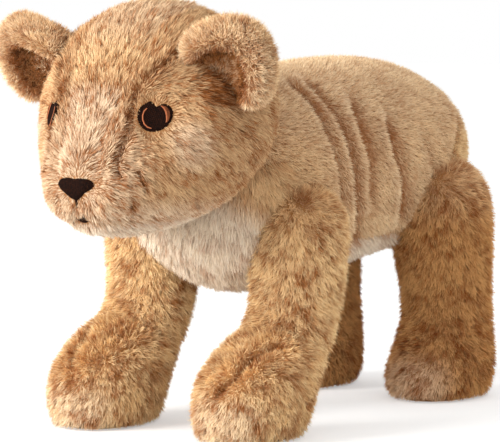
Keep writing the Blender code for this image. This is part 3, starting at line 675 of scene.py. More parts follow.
BACK_STRANDS = strand_sizes(5.2, 0.42, lean=0.50, unruly=0.34, tuft=3.2, pull=0.30, sway=0.10)
BELLY_STRANDS = strand_sizes(9.0, 0.52, lean=1.00, unruly=0.30, tuft=7.0, pull=0.40, sway=0.20)
HEAD_STRANDS = strand_sizes(7.4, 0.43, lean=1.15, unruly=0.26, tuft=5.2, pull=0.40, sway=0.24)
EAR_STRANDS = strand_sizes(6.0, 0.40, lean=0.40, unruly=0.42, tuft=3.0, pull=0.50, sway=0.25)
LEG_STRANDS = strand_sizes(7.0, 0.42, lean=0.62, unruly=0.36, tuft=4.2, pull=0.50, sway=0.30)
TAIL_STRANDS = strand_sizes(6.6, 0.48, lean=1.10, unruly=0.28, tuft=4.0, pull=0.30, sway=0.15)
TUFT_STRANDS = strand_sizes(13.0, 0.48, lean=1.50, unruly=0.40, tuft=4.0, pull=0.50, sway=0.20)
NECK_STRANDS = strand_sizes(6.0, 0.52, lean=1.10, unruly=0.30)


def grow(name, skin, cover, finish, sizes, seed, body, strands=2.6e6):
    """A mesh of strands on the parts of a skin where cover is above zero, so many on a square metre."""
    mesh = skin.data.copy()
    mesh.materials.clear()
    set_attribute(mesh, "cover", cover)
    obj = put(name, mesh)
    count = area_of(mesh, cover) * strands
    if count > MOST_STRANDS:
        strands *= MOST_STRANDS / count
        count = MOST_STRANDS
    grower = obj.modifiers.new("Pile", "NODES")
    grower.node_group = PILE_TREE
    set_inputs(grower, PILE_TREE, {
        "Strand": STRAND, "Strands per Area": strands, "Seed": seed, "Finish": finish,
        "Map Cells": float(math.ceil(math.sqrt(count * SPARE_CELLS) + 1)), **sizes,
    })
    apply_modifiers(obj)
    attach(obj, body)


def panel_shares(points, node_names):
    """For each panel, 1 at the points that lie nearest to it."""
    nearest = gaps_to_nodes(points, node_names).argmin(0)
    return [(nearest == i).astype(float) for i in range(len(node_names))]


# Camera and light

SKY_STRENGTH = 0.71
FLOOR_HALF_WIDTH = 6.0
FLOOR_GLOW = 0.42
FLOOR_ROUGHNESS = 0.9


def make_camera():
    camera = bpy.data.cameras.new("camera")
    obj = put("camera", camera)
    flat = math.cos(VIEW_ELEVATION)
    back = Vector((math.sin(VIEW_AZIMUTH) * flat, -math.cos(VIEW_AZIMUTH) * flat, math.sin(VIEW_ELEVATION)))
    obj.location = VIEW_TARGET + back * VIEW_DISTANCE
    obj.rotation_mode = "QUATERNION"
    obj.rotation_quaternion = back.to_track_quat("Z", "Y")
    camera.sensor_width = SENSOR
    camera.lens = SENSOR * VIEW_DISTANCE / (METRES_PER_PIXEL * IMAGE_WIDTH)
    camera.shift_x = -(TARGET_PIXEL[0] - IMAGE_WIDTH / 2) / IMAGE_WIDTH
    camera.shift_y = (TARGET_PIXEL[1] - IMAGE_HEIGHT / 2) / IMAGE_WIDTH
    camera.clip_end = 50
    bpy.context.scene.camera = obj


def make_lamp(name, place, size, power):
    light = bpy.data.lights.new(name, "AREA")
    light.shape = "SQUARE"
    light.size = size
    light.energy = power
    obj = put(name, light)
    obj.location = place
    obj.rotation_euler = (Vector(place) - VIEW_TARGET).to_track_quat("Z", "Y").to_euler()


def make_studio():
    world = bpy.data.worlds.new("studio")
    bpy.context.scene.world = world
    world.use_nodes = True
    t = Tree(world.node_tree)
    sky = world.node_tree.nodes["Background"]
    t.set(sky, Color=(1, 1, 1), Strength=SKY_STRENGTH)
    white = t.add("ShaderNodeBackground", Color=(1, 1, 1), Strength=1.0)
    seen = t.add("ShaderNodeLightPath")
    shown = t.math("MAXIMUM", seen.outputs["Is Camera Ray"], seen.outputs["Is Glossy Ray"])
    shown = t.math("MAXIMUM", shown, seen.outputs["Is Transmission Ray"])
    both = t.add("ShaderNodeMixShader", _0=shown, _1=sky, _2=white)
    t.feed(world.node_tree.nodes["World Output"].inputs["Surface"], both.outputs[0])
    make_lamp("key", (-0.80, -1.50, 0.72), size=1.0, power=40.0)
    make_lamp("fill", (1.6, -1.1, 0.6), size=1.2, power=7.0)
    bm = bmesh.new()
    bmesh.ops.create_grid(bm, x_segments=2, y_segments=2, size=FLOOR_HALF_WIDTH)
    floor = put("floor", mesh_of(bm, "floor"))
    material, t, shader = new_material("floor")
    seen = t.add("ShaderNodeLightPath").outputs["Is Camera Ray"]
    t.set(shader, Base_Color=FLOOR_GREY, Roughness=FLOOR_ROUGHNESS, Emission_Color=(1, 1, 1),
          Emission_Strength=t.math("MULTIPLY", seen, FLOOR_GLOW))
    floor.data.materials.append(material)


make_camera()
make_studio()
bpy.context.scene.view_settings.view_transform = "Standard"


# Stitched thread

THREAD_RADIUS = 0.0003
PLY_LENGTH = 0.0012
SHORTEST_ROW = 0.5
# How far from its edge embroidery reaches its full height, and how far its ends go under, in millimetres
CROWN_REACH = 2.2
END_DEPTH = -0.5
# A hoop looks back from this many metres in front, and counts what is this many millimetres behind it
HOOP_STANDOFF = 0.05
HOOP_DEPTH = 14
# Rows start off the outline's own points
ROW_START = 0.5137
# How unevenly the rows lie, and how fast that changes from row to row
ROW_UNEVENNESS = 0.12
ROW_WAVE = 2.4


def thread_tree():
    """Tubes along the edges of a mesh, with twist running along and round them for the ply."""
    tree = bpy.data.node_groups.new("stitched_thread", "GeometryNodeTree")
    usual = {
        "Geometry": "Geometry", "Thread Radius": THREAD_RADIUS, "Ply Length": PLY_LENGTH,
        "Finish": "Material",
    }
    new_sockets(tree, usual, {"Geometry": "Geometry"})
    t = Tree(tree)
    given = t.add("NodeGroupInput").outputs
    run = t.add("GeometryNodeMeshToCurve", Mesh=given["Geometry"]).outputs[0]
    run = t.store(run, "run", t.add("GeometryNodeSplineParameter").outputs["Length"])
    ring = t.add("GeometryNodeCurvePrimitiveCircle", Resolution=6, Radius=given["Thread Radius"])
    ring = t.store(ring.outputs["Curve"], "round", t.add("GeometryNodeSplineParameter").outputs["Factor"])
    tube = t.add("GeometryNodeCurveToMesh", Curve=run, Profile_Curve=ring, Fill_Caps=True).outputs[0]
    turns = t.math("DIVIDE", t.named("run"), given["Ply Length"])
    tube = t.store(tube, "twist", t.math("ADD", turns, t.named("round")))
    tube = t.add("GeometryNodeSetShadeSmooth", Geometry=tube).outputs[0]
    tube = t.add("GeometryNodeRealizeInstances", Geometry=tube).outputs[0]
    tube = t.add("GeometryNodeSetMaterial", Geometry=tube, Material=given["Finish"]).outputs[0]
    t.add("NodeGroupOutput", Geometry=tube)
    return tree


THREAD_TREE = thread_tree()


def thread(name, paths, finish, body, radius=THREAD_RADIUS):
    """Tubes of thread along paths of points."""
    bm = bmesh.new()
    for path in paths:
        verts = [bm.verts.new(place) for place in path]
        for a, b in zip(verts, verts[1:]):
            bm.edges.new((a, b))
    obj = put(name, mesh_of(bm, name))
    maker = obj.modifiers.new("Thread", "NODES")
    maker.node_group = THREAD_TREE
    set_inputs(maker, THREAD_TREE, {"Thread Radius": radius, "Finish": finish})
    apply_modifiers(obj)
    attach(obj, body)
    return obj


class Hoop:
    """A flat working frame held against the head, x to its right and y up, in millimetres."""

    def __init__(self, centre, azimuth, mirror=1):
        x, y, z = centre
        turn = math.radians(azimuth) * mirror
        self.mirror = mirror
        self.centre = Vector((x * mirror, y, z))
        self.facing = Vector((math.sin(turn), -math.cos(turn), 0))
        self.right = Vector((math.cos(turn), math.sin(turn), 0))

    def onto(self, tree, x, y, height):
        """The place on a surface behind x and y, raised in millimetres along its normal."""
        flat = self.centre + self.right * mm(x * self.mirror) + Vector((0, 0, mm(y)))
        spot, normal, _, _ = tree.ray_cast(flat + self.facing * HOOP_STANDOFF, -self.facing)
        if spot is None:
            spot, normal, _, _ = tree.find_nearest(flat)
        return spot + normal * mm(height)

    def flat(self, points):
        """Points in the hoop's own x and y, in millimetres, and how far behind it they are."""
        offset = (points - np.array(self.centre)) * 1000
        x = offset @ np.array(self.right) * self.mirror
        return np.stack([x, offset[:, 2]], 1), -(offset @ np.array(self.facing))


def outside(points, outline):
    """Signed distance of flat points from a closed outline, above zero outside."""
    closed = outline + outline[:1]
    near = from_path(points, closed)[1]
    inside = np.zeros(len(points), bool)
    for a, b in zip(closed, closed[1:]):
        if a[1] != b[1]:
            crosses = (a[1] > points[:, 1]) != (b[1] > points[:, 1])
            meets = a[0] + (points[:, 1] - a[1]) * (b[0] - a[0]) / (b[1] - a[1])
            inside ^= crosses & (points[:, 0] < meets)
    return np.where(inside, -near, near)


def rounded(outline, steps=4):
    """A smooth closed line through the outline's points."""
    points = np.array(outline, float)
    before, after, later = (np.roll(points, shift, 0) for shift in (1, -1, -2))
    smooth = []
    for i in range(len(points)):
        for step in range(steps):
            s = step / steps
            smooth.append(tuple(
                0.5 * (2 * points[i] + (after[i] - before[i]) * s
                + (2 * before[i] - 5 * points[i] + 4 * after[i] - later[i]) * s**2
                + (3 * points[i] - before[i] - 3 * after[i] + later[i]) * s**3)
            ))
    return smooth


def satin(hoop, tree, outline, spacing=0.42, slant=90.0, crown=1.3, steps=12):
    """Rows of thread side by side that fill an outline, highest along its middle."""
    turn = math.radians(slant)
    along = np.array((math.cos(turn), math.sin(turn)))
    aside = np.array((-along[1], along[0]))
    points = np.array(outline)
    low, high = (points @ aside).min(), (points @ aside).max()
    count = max(2, round((high - low) / spacing))
    rows = []
    for number in range(count):
        offset = low + (number + ROW_START) * (high - low) / count
        meets = []
        for a, b in zip(points, np.roll(points, -1, 0)):
            da, db = a @ aside - offset, b @ aside - offset
            if (da > 0) != (db > 0):
                meets.append((a + (b - a) * da / (da - db)) @ along)
        meets.sort()
        for start, end in zip(meets[::2], meets[1::2]):
            if end - start < SHORTEST_ROW:
                continue
            path = []
            for step in range(steps + 1):
                share = step / steps
                flat = aside * offset + along * (start + (end - start) * share)
                edge = abs(outside(flat[None], outline)[0])
                height = crown * math.sqrt(min(1.0, edge / CROWN_REACH))
                height += ROW_UNEVENNESS * math.sin(number * ROW_WAVE)
                path.append(hoop.onto(tree, *flat, height if 0 < step < steps else END_DEPTH))
            rows.append(path)
    return rows


def drawn(hoop, tree, lines, height):
    return [[hoop.onto(tree, x, y, height) for x, y in line] for line in lines]


def between(line, other, share):
    return [tuple(a + (b - a) * share for a, b in zip(p, q)) for p, q in zip(line, other)]


# The stitched face: places on the head, and shapes in a hoop's own millimetres

EYE_PLACE = mm((40.6, -176.8, 204.3))
EYE_AZIMUTH = 35.0
FAR_EYE_PLACE = mm((38.8, -178.0, 203.6))
FAR_EYE_AZIMUTH = 33.5
EYE_SHAPE = rounded([
    (-6.8, 7.6), (-3.1, 9.5), (-1.3, 8.6), (1.0, 6.4), (3.5, 7.6), (6.9, 7.8), (9.8, 5.6), (10.9, 2.5),
    (9.4, -2.9), (5.6, -7), (0.2, -9), (-4.6, -8.6), (-8.2, -6.2), (-10.4, -2.4), (-10.7, 1.8), (-9.4, 5.2),
])
INNER_LINE = [(-5.0, 5.0), (-7.0, 3.4), (-8.2, 0.8), (-8.1, -2.0), (-6.7, -4.8), (-4.8, -6.6), (-2.3, -7.4)]
INNER_EDGE = [(-4.6, 4.7), (-6.2, 3.0), (-7.2, 0.7), (-7.1, -1.8), (-5.9, -4.3), (-4.2, -6.0), (-2.1, -7.0)]
OUTER_LINE = [(3.6, 6.6), (5.2, 5.2), (6.4, 3.0), (7.0, 0.4), (7.1, -2.2), (6.7, -3.6)]
OUTER_EDGE = [(4.4, 6.6), (6.8, 5.8), (8.7, 3.4), (9.0, 0.8), (8.2, -2.0), (7.3, -3.4)]
NOSE_PLACE = mm((0.0, -203.8, 161.4))
NOSE_HALF = [(5, 6), (9.6, 5.4), (12.6, 3.4), (13.2, 1.2), (11, -0.8), (7.2, -3.2), (3.8, -6), (1.2, -7.4)]
NOSE_SHAPE = rounded([(0, 5.6), *NOSE_HALF, *((-x, y) for x, y in reversed(NOSE_HALF))])
LIP_LINES = [
    [(-0.5, -6.8), (-0.6, -9.5), (-0.5, -12.4)],
    [(0.0, -6.8), (0.05, -9.8), (0.0, -12.9)],
    [(0.5, -6.8), (0.6, -9.4), (0.5, -12.2)],
]
LIP_SHAPE = [(-0.9, -6.0), (0.9, -6.0), (0.9, -13.0), (-0.9, -13.0)]
MOUTH_SHAPE = rounded([
    (-5.2, -18.2), (-2.8, -18.0), (-0.2, -17.8), (2.2, -17.4), (3.8, -17.6), (3.4, -19.6), (1.3, -21.4),
    (-1.4, -21.7), (-3.8, -20.6),
])
MOUTH_FLICKS = [[(2.6, -18.0), (3.8, -17.0), (4.8, -15.4)], [(2.8, -18.4), (4.1, -17.3), (5.0, -15.9)]]
EYE_HOOPS = [Hoop(EYE_PLACE, EYE_AZIMUTH, 1), Hoop(FAR_EYE_PLACE, FAR_EYE_AZIMUTH, -1)]
NOSE_HOOP = Hoop(NOSE_PLACE, 0.0)
# How far the pile keeps off each stitched shape, and how far round it the pile is short, in millimetres
BARE_PLACES = (
    *((hoop, EYE_SHAPE, 0.1, 11.0) for hoop in EYE_HOOPS),
    (NOSE_HOOP, NOSE_SHAPE, 0.3, 9.0), (NOSE_HOOP, LIP_SHAPE, -0.7, 4.0), (NOSE_HOOP, MOUTH_SHAPE, 0.2, 6.0),
)

# Folds and bumps: places, widths, depths and heights in millimetres, on the left side and mirrored

TORSO_PANELS = ("torso_skin", "belly_panel")
HEAD_PANELS = ("forehead_gusset", "left_face_panel", "right_face_panel", "chin_panel")
FLANK_FOLDS = mm((
    (((30, -23.5, 213), (45.7, -19, 203.7), (55.4, -19.7, 189.2), (60.8, -17.4, 177.1), (63, -13.7, 160.8),
      (62, -10, 145)), 4.2, 3.6),
    (((33, -6, 215), (46.2, -3.9, 203.8), (54.8, -1.5, 190.3), (60.7, 1.4, 173.5), (61.8, 5.7, 151.2),
      (57.4, 13.7, 132.9), (48, 25, 117)), 4.6, 8.5),
    (((48, 23, 201), (57.5, 21.5, 184.8), (60.4, 25, 172.1), (61.9, 26.5, 159.3), (60.2, 27.3, 146.5)),
     6.0, 5.2),
    (((56, 53, 188), (60.5, 55.7, 170.7), (60.7, 64.2, 157.2), (57.8, 70.6, 141.7), (53, 73.8, 131.9)),
     5.6, 6.4),
    (((59, 90, 180), (60.2, 98.7, 170), (60, 101, 156)), 3.4, 2.2),
))
HAUNCH_SEAM = mm((
    ((35, 156, 200), (50, 143, 186), (57.6, 135, 175.4), (59.9, 127.4, 164.9), (60, 113, 150), (56, 96, 134)),
    3.0, 3.0,
))
HAUNCH_BUMPS = mm((((40, 140, 190), (22, 30, 22), 3.5), ((45, 158, 168), (20, 20, 20), 2.4)))
HIP_BUMP = mm(((60, 142, 152), (22, 20, 20), 1.0))
HEAD_SEAM = mm((
    (47.4, -140, 250.1), (45.6, -150, 244.8), (42.4, -157.8, 240.1), (38.1, -165.3, 234.1),
    (32.6, -172.1, 227.5), (29.6, -176.2, 221.6), (27, -179.8, 215.6), (26.8, -184, 204),
    (27.6, -186.6, 196.5), (23.6, -194.3, 178.7),
))
FACE_SEAM = mm(((27.6, -186.6, 196.5), (25.4, -190.7, 187.6), (23.6, -194.3, 178.7), (24.9, -195.1, 169.7)))
MUZZLE_SLIT = mm(((33.7, -187.8, 172.1), (35.2, -185.8, 166.6), (36.7, -182.9, 161)))
MUZZLE_DENTS = mm((
    (((24.9, -195.1, 170.5), (26.2, -194.8, 169)), 2.2), (((15.2, -200.4, 156), (15.5, -200.4, 153)), 1.6),
    (((20.9, -191.1, 147), (21.2, -191.1, 143)), 2.2), (((29, -190, 156), (30, -189, 152)), 1.8),
))
BROW_DENTS = mm((
    (((-8, -181.1, 222.9), (2, -181.1, 222.9)), 4.0), (((10.7, -182.4, 218.9), (15, -180, 220)), 3.6),
    (((3, -160, 244), (6, -160, 244)), 3.6),
))
HEAD_BUMPS = mm((
    ((21, -197, 156), (15, 22, 14), 3.0), ((30, -174, 223), (18, 20, 8), 2.2),
    ((58, -140, 168), (20, 28, 22), 2.8), ((62, -152, 205), (14, 18, 20), 2.4),
    ((40.6, -176.8, 204.3), (13, 13, 12), -2.4),
))
MIDDLE_BUMPS = mm((((0, -186, 216), (30, 20, 7), -1.4), ((0, -195, 190), (16, 20, 16), 1.2)))
# Where a front leg meets its paw, from its outer side round to its inner side
WRIST = mm((
    (85, -60, 56), (80, -74, 60), (70, -83, 62.5), (57.5, -86, 63.5),
    (45, -83, 62.5), (35, -74, 60), (30, -60, 56),
))
WRIST_FOLD = mm(((72, -93, 56), (65.8, -108.1, 48), (63.3, -122.8, 38), (57.7, -131.9, 32)))
# The depths at which a flank fold's painted shade is fully dark and its ridge's painted highlight fully pale
DARK_FOLD_DEPTH = mm(5.5)
RIDGE_HIGHLIGHT_DEPTH = mm(6.0)


def on_side(path, side):
    return [(x * side, y, z) for x, y, z in path]


def both_sides(path):
    return [on_side(path, 1), on_side(path, -1)]


def side_patches(points, place, radius):
    """1 at a place and at its mirror image, falling off to nothing at a radius round each."""
    gaps = [np.linalg.norm(points - np.array(there), axis=1) for there, in both_sides([place])]
    return sum(1 - ease(gap, radius * 0.3, radius) for gap in gaps)


def raise_bumps(points, normals, bumps, side):
    for centre, radii, height in bumps:
        swell(points, normals, on_side([centre], side)[0], radii, height)


def fold_torso(obj):
    """Hangs the folds on the flanks. Returns how deep in a fold each point is, for painted shade in the
    folds, the haunch seam and the panel seams, and how far up a ridge, for painted highlight on the ridges.
    """
    points, normals = surface_of(obj)
    folded, ridge_highlight = np.zeros(len(points)), np.zeros(len(points))
    for path, width, depth in FLANK_FOLDS:
        for there in both_sides(path):
            groove, ridge = sag(points, normals, there, width, depth)
            folded = np.maximum(folded, groove * depth / DARK_FOLD_DEPTH)
            ridge_highlight = np.maximum(ridge_highlight, ridge * min(1, depth / RIDGE_HIGHLIGHT_DEPTH))
    path, width, depth = HAUNCH_SEAM
    for there in both_sides(path):
        folded = np.maximum(folded, crease(points, normals, there, width, depth) * 0.5)
    for _, side in SIDES:
        raise_bumps(points, normals, HAUNCH_BUMPS, side)
    seams = seam_depth(points, TORSO_PANELS, mm(4))
    points -= normals * (seams * mm(1))[:, None]
    set_points(obj.data, points)
    # The panel seams add painted shade in their pressed-in grooves
    return folded + seams * 0.25, ridge_highlight


def ease_into_limbs(obj, height, width):
    """Raises the skin round the top of each leg, so the leg grows out of it."""
    points, normals = surface_of(obj)
    gap = -depth_in_any(points, limb_trees.values())
    rise = (1 - ease(np.maximum(gap, 0), 0, width)) * ease(points[:, 2], 0.095, 0.120)
    points += normals * (rise * height)[:, None]
    set_points(obj.data, points)


def depth_in_any(points, trees):
    return np.maximum.reduce([depths_inside(points, tree) for tree in trees])


def shape_head(obj):
    """Muzzle, brow, cheeks, eye hollows, and the furrows along the head's seams.
    Returns the painted shade at each point, from its creases, dents and seams."""
    points, normals = surface_of(obj)
    for _, side in SIDES:
        raise_bumps(points, normals, HEAD_BUMPS, side)
    raise_bumps(points, normals, MIDDLE_BUMPS, 1)
    dents = [(there, width, mm(1.4), 1.7) for path, width in MUZZLE_DENTS for there in both_sides(path)]
    dents += [(path, width, mm(0.6), 0.6) for path, width in BROW_DENTS]
    crease_shade = np.zeros(len(points))
    # Each crease is pressed in, and painted darker by its darkness as painted shade
    for there, width, depth, darkness in (
        *((there, mm(2.6), mm(2.2), 1.5) for there in both_sides(FACE_SEAM)),
        *((there, mm(2.2), mm(3.4), 1.5) for there in both_sides(HEAD_SEAM)),
        *((there, mm(1.7), mm(2.4), 2.0) for there in both_sides(MUZZLE_SLIT)),
        *dents,
    ):
        crease_shade = np.maximum(crease_shade, crease(points, normals, there, width, depth) * darkness)
    seams = seam_depth(points, HEAD_PANELS, mm(3.5))
    seams *= 1 - ease(points[:, 1], -0.150, -0.125) * 0.8
    points -= normals * (seams * mm(1.6))[:, None]
    set_points(obj.data, points)
    return np.clip(np.maximum(crease_shade, seams * 0.35), 0, 2)


# How the pile is combed

DOWN = np.array((0, 0.05, -1.0))
NOSE_TIP = mm((0, -216, 172))


def torso_comb(points, normals):
    """Back along the body and down its sides, and down the chest."""
    down = -0.35 - 0.9 * np.clip(np.abs(points[:, 0]) / 0.06, 0, 1)
    flow = np.stack([np.zeros(len(points)), np.ones(len(points)), down], 1)
    chest = ease(-points[:, 1], 0.055, 0.085)[:, None]
    return along_surface(flow * (1 - chest) + DOWN * chest, normals)


def head_comb(points, normals):
    """Away from the nose to the back of the head, and down the cheeks."""
    flow = unit(points - np.array(NOSE_TIP))
    cheek = ease(np.abs(points[:, 0]), 0.022, 0.048) * ease(-points[:, 2], -0.245, -0.215)
    return along_surface(flow - np.array((0, 0, 0.95)) * cheek[:, None], normals)


def limb_comb(points, normals):
    """Down the leg, to the rear at its top, and forward over the paw."""
    top = ease(points[:, 2], 0.11, 0.15)[:, None]
    paw = ease(-points[:, 2], -0.05, -0.02)[:, None]
    return along_surface(DOWN + np.array((0, 0.30, 0.0)) * top + np.array((0, -0.55, 0.2)) * paw, normals)


def tail_comb(points, normals):
    return along_surface(np.repeat(np.array(((0, 0.1, -1.0),)), len(points), 0), normals)


def parted(comb, points, normals, path, reach, strength):
    """A comb that parts along a path, within a reach of it."""
    offsets, gap = from_path(points, path)
    near = (1 - ease(gap, mm(1), reach))[:, None] * strength
    return comb * (1 - near) + along_surface(offsets, normals) * near


def prepare_skin(obj, comb, **values):
    """Stores on a skin what its pile and the pile's material read."""
    points, normals = surface_of(obj)
    set_attribute(obj.data, "comb", comb(points, normals) if callable(comb) else comb)
    for key, usual in (("fold", 0), ("pale", 0), ("gold", 0), ("pile", 1)):
        set_attribute(obj.data, key, np.zeros(len(points)) + values.get(key, usual))
    return points


def dress(skin, body, slot, backing, fill, *nodes):
    """Gives a padded skin its cloth and its body, and hides the nodes it stands for."""
    skin.data.materials.clear()
    skin.data.materials.append(backing)
    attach(skin, body)
    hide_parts(*nodes)


# Torso


def dress_torso():
    points = points_of(torso.data)
    across, along, height = np.abs(points[:, 0]), points[:, 1], points[:, 2]
    back, belly = panel_shares(points, TORSO_PANELS)
    behind_seam = ease(along - (0.1274 + (height - 0.1649) * 0.72), -0.004, 0.004)
    low_rump = behind_seam * ease(-height, -0.195, -0.175)
    shoulder = side_patches(points, (0.06, -0.060, 0.150), 0.045)
    cream = 1 - ease(height + across * 0.75, 0.166, 0.190)
    # Cream on the belly panel and the back paler toward its top; painted highlight on the ridges beside the
    # flank folds, painted shade in the folds
    pale = np.where(belly > 0, cream, 0) + back * (0.15 * ease(height, 0.17, 0.21) + torso_ridge_highlight * 0.16)
    prepare_skin(torso, torso_comb, fold=torso_folds, pile=1 - 0.42 * np.clip(torso_folds, 0, 1), pale=pale,
                 gold=np.clip(low_rump + shoulder * 0.5, 0, 1))
    hidden = depth_in_any(points, (head_tree, *limb_trees.values()))
    in_view = 1 - ease(hidden, 0.007, 0.009)
    for word, side in SIDES:
        cover = back * (points[:, 0] * side >= 0) * in_view
        grow(f"{word}_back_pile", torso, cover, BODY_PILE, BACK_STRANDS, 11 + side, "torso")
    grow("belly_pile", torso, belly * in_view, CREAM_PILE, BELLY_STRANDS, 21, "torso")
    dress(torso, "torso", "tan_plush", TAN_BACKING, 0.75, *torso_nodes)


# Head


def comb_face(points, normals):
    """The head's comb, how short its pile is, and where it has none, round what is stitched on it."""
    comb = head_comb(points, normals)
    clear, short = np.ones(len(points)), np.ones(len(points))
    for hoop, shape, margin, reach in BARE_PLACES:
        flat, behind = hoop.flat(points)
        gap = np.where(np.abs(behind) < HOOP_DEPTH, outside(flat, shape), np.inf)
        clear *= ease(gap, margin - 1.0, margin + 1.0)
        short = np.minimum(short, 0.50 + 0.50 * ease(gap, 0, reach))
        away = along_surface(points - np.array(hoop.centre), normals)
        near = (1 - ease(gap, 1.0, 8.0))[:, None] * 0.85
        comb = unit(comb * (1 - near) + away * near)
    for there in both_sides(HEAD_SEAM):
        comb = parted(comb, points, normals, there, mm(7), 0.75)
        short = np.minimum(short, 0.55 + 0.45 * ease(from_path(points, there)[1], 0, mm(5)))
    return comb, short, clear


def dress_head():
    points, normals = surface_of(head)
    across, along, height = np.abs(points[:, 0]), points[:, 1], points[:, 2]
    gusset, left_face, right_face, chin = panel_shares(points, HEAD_PANELS)
    comb, short, clear = comb_face(points, normals)
    muzzle = ease(-along, 0.176, 0.196) * 0.32
    bridge = gusset * ease(-along, 0.172, 0.186) * ease(-height, -0.224, -0.214) * 0.45
    under_eye = side_patches(points, (0.055, -0.163, 0.189), 0.020) * 0.4
    crown = gusset * ease(height, 0.235, 0.262) * 0.25
    low_cheek = ease(-height, -0.162, -0.146) * 0.5
    pale = np.clip(np.maximum.reduce([chin, bridge, muzzle, under_eye, crown, low_cheek]), 0, 1)
    gold = np.clip(gusset * ease(height, 0.216, 0.226) * ease(-height, -0.262, -0.235) * 0.35, 0, 1)
    cheek_shade = ease(across, 0.040, 0.060) * ease(along, -0.175, -0.140) * 0.16
    ear_shade = side_patches(points, (0.064, -0.146, 0.226), 0.022) * 1.1
    # The head's painted shade: its creases and seams, the far sides of the cheeks and round the ear roots
    fold = np.maximum.reduce([head_fold_shade, cheek_shade, ear_shade])
    pile = short * (0.78 + 0.22 * ease(along, -0.19, -0.15))
    prepare_skin(head, comb, fold=fold, pale=pale, gold=gold, pile=pile)
    in_view = (1 - ease(depths_inside(points, torso_tree), 0.004, 0.007)) * clear
    shares = {"forehead": gusset, "left_face": left_face, "right_face": right_face}
    for number, (name, share) in enumerate(shares.items()):
        grow(f"{name}_pile", head, share * in_view, FACE_PILE, HEAD_STRANDS, 31 + number, "head")
    grow("chin_pile", head, chin * in_view, CREAM_PILE, HEAD_STRANDS, 34, "head")
    dress(head, "head", "tan_plush", TAN_BACKING, 0.8, *head_nodes)


def stitch(name, rows, finish, node=None, radius=THREAD_RADIUS):
    """Thread on the head that stands for a node, or for none."""
    obj = thread(name, rows, finish, "head", radius)
    if node:
        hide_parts(node)


def stitch_face():
    for (word, _), hoop in zip(SIDES, EYE_HOOPS):
        rows = satin(hoop, head_tree, EYE_SHAPE, slant=70.0)
        stitch(f"{word}_eye_satin", rows, DARK_THREAD, f"{word}_eye")
        inner = drawn(hoop, head_tree, [between(INNER_LINE, INNER_EDGE, share) for share in (0.0, 0.3)], 1.75)
        iris = f"{word}_inner_iris"
        stitch(f"{iris}_threads", inner, SALMON_THREAD, iris, mm(0.25))
        outer = [between(OUTER_LINE, OUTER_EDGE, share) for share in (0.0, 0.2, 0.4, 0.6, 0.8, 1.0)]
        middle = drawn(hoop, head_tree, outer[2:], 1.70)
        stitch(f"{word}_outer_iris_threads", middle, COPPER_THREAD, f"{word}_outer_iris")
        edge = drawn(hoop, head_tree, outer[:2], 1.85)
        stitch(f"{word}_outer_iris_edge", edge, SALMON_THREAD, radius=mm(0.22))
    rows = satin(NOSE_HOOP, head_tree, NOSE_SHAPE, spacing=0.30, crown=1.8)
    stitch("nose_satin", rows, DARK_THREAD, "nose")
    stitch("philtrum_threads", drawn(NOSE_HOOP, head_tree, LIP_LINES, 0.4), DARK_THREAD,
           "philtrum_stitch")
    rows = satin(NOSE_HOOP, head_tree, MOUTH_SHAPE, spacing=0.30, crown=1.4)
    rows += drawn(NOSE_HOOP, head_tree, MOUTH_FLICKS, 1.3)
    stitch("mouth_satin", rows, DARK_THREAD, "mouth")


# Ears

EAR_ROOT = mm((65.2, -137, 232.5))
EAR_SEAM = (0.68, 0.40, -0.60)
HEAD_MIDDLE = mm((0, -126, 201))
EAR_HALF_WIDTH = mm(27.5)
EAR_HEIGHT = mm(40)


def ear_places(points, side):
    """The ear's own directions, and how far each point is from its seam's middle as a share of its reach."""
    mirrored = np.array((side, 1, 1))
    root = np.array(EAR_ROOT) * mirrored
    seam = np.array(EAR_SEAM) * mirrored / np.linalg.norm(EAR_SEAM)
    outward = root - np.array(HEAD_MIDDLE)
    up = outward - seam * (outward @ seam)
    up /= np.linalg.norm(up)
    forward = np.cross(seam, up) * side
    offset = points - root
    along, rise = offset @ seam, offset @ up
    reach = np.hypot(along / EAR_HALF_WIDTH, rise / EAR_HEIGHT)
    radial = unit(along[:, None] * seam + rise[:, None] * up)
    return up, reach, radial, forward


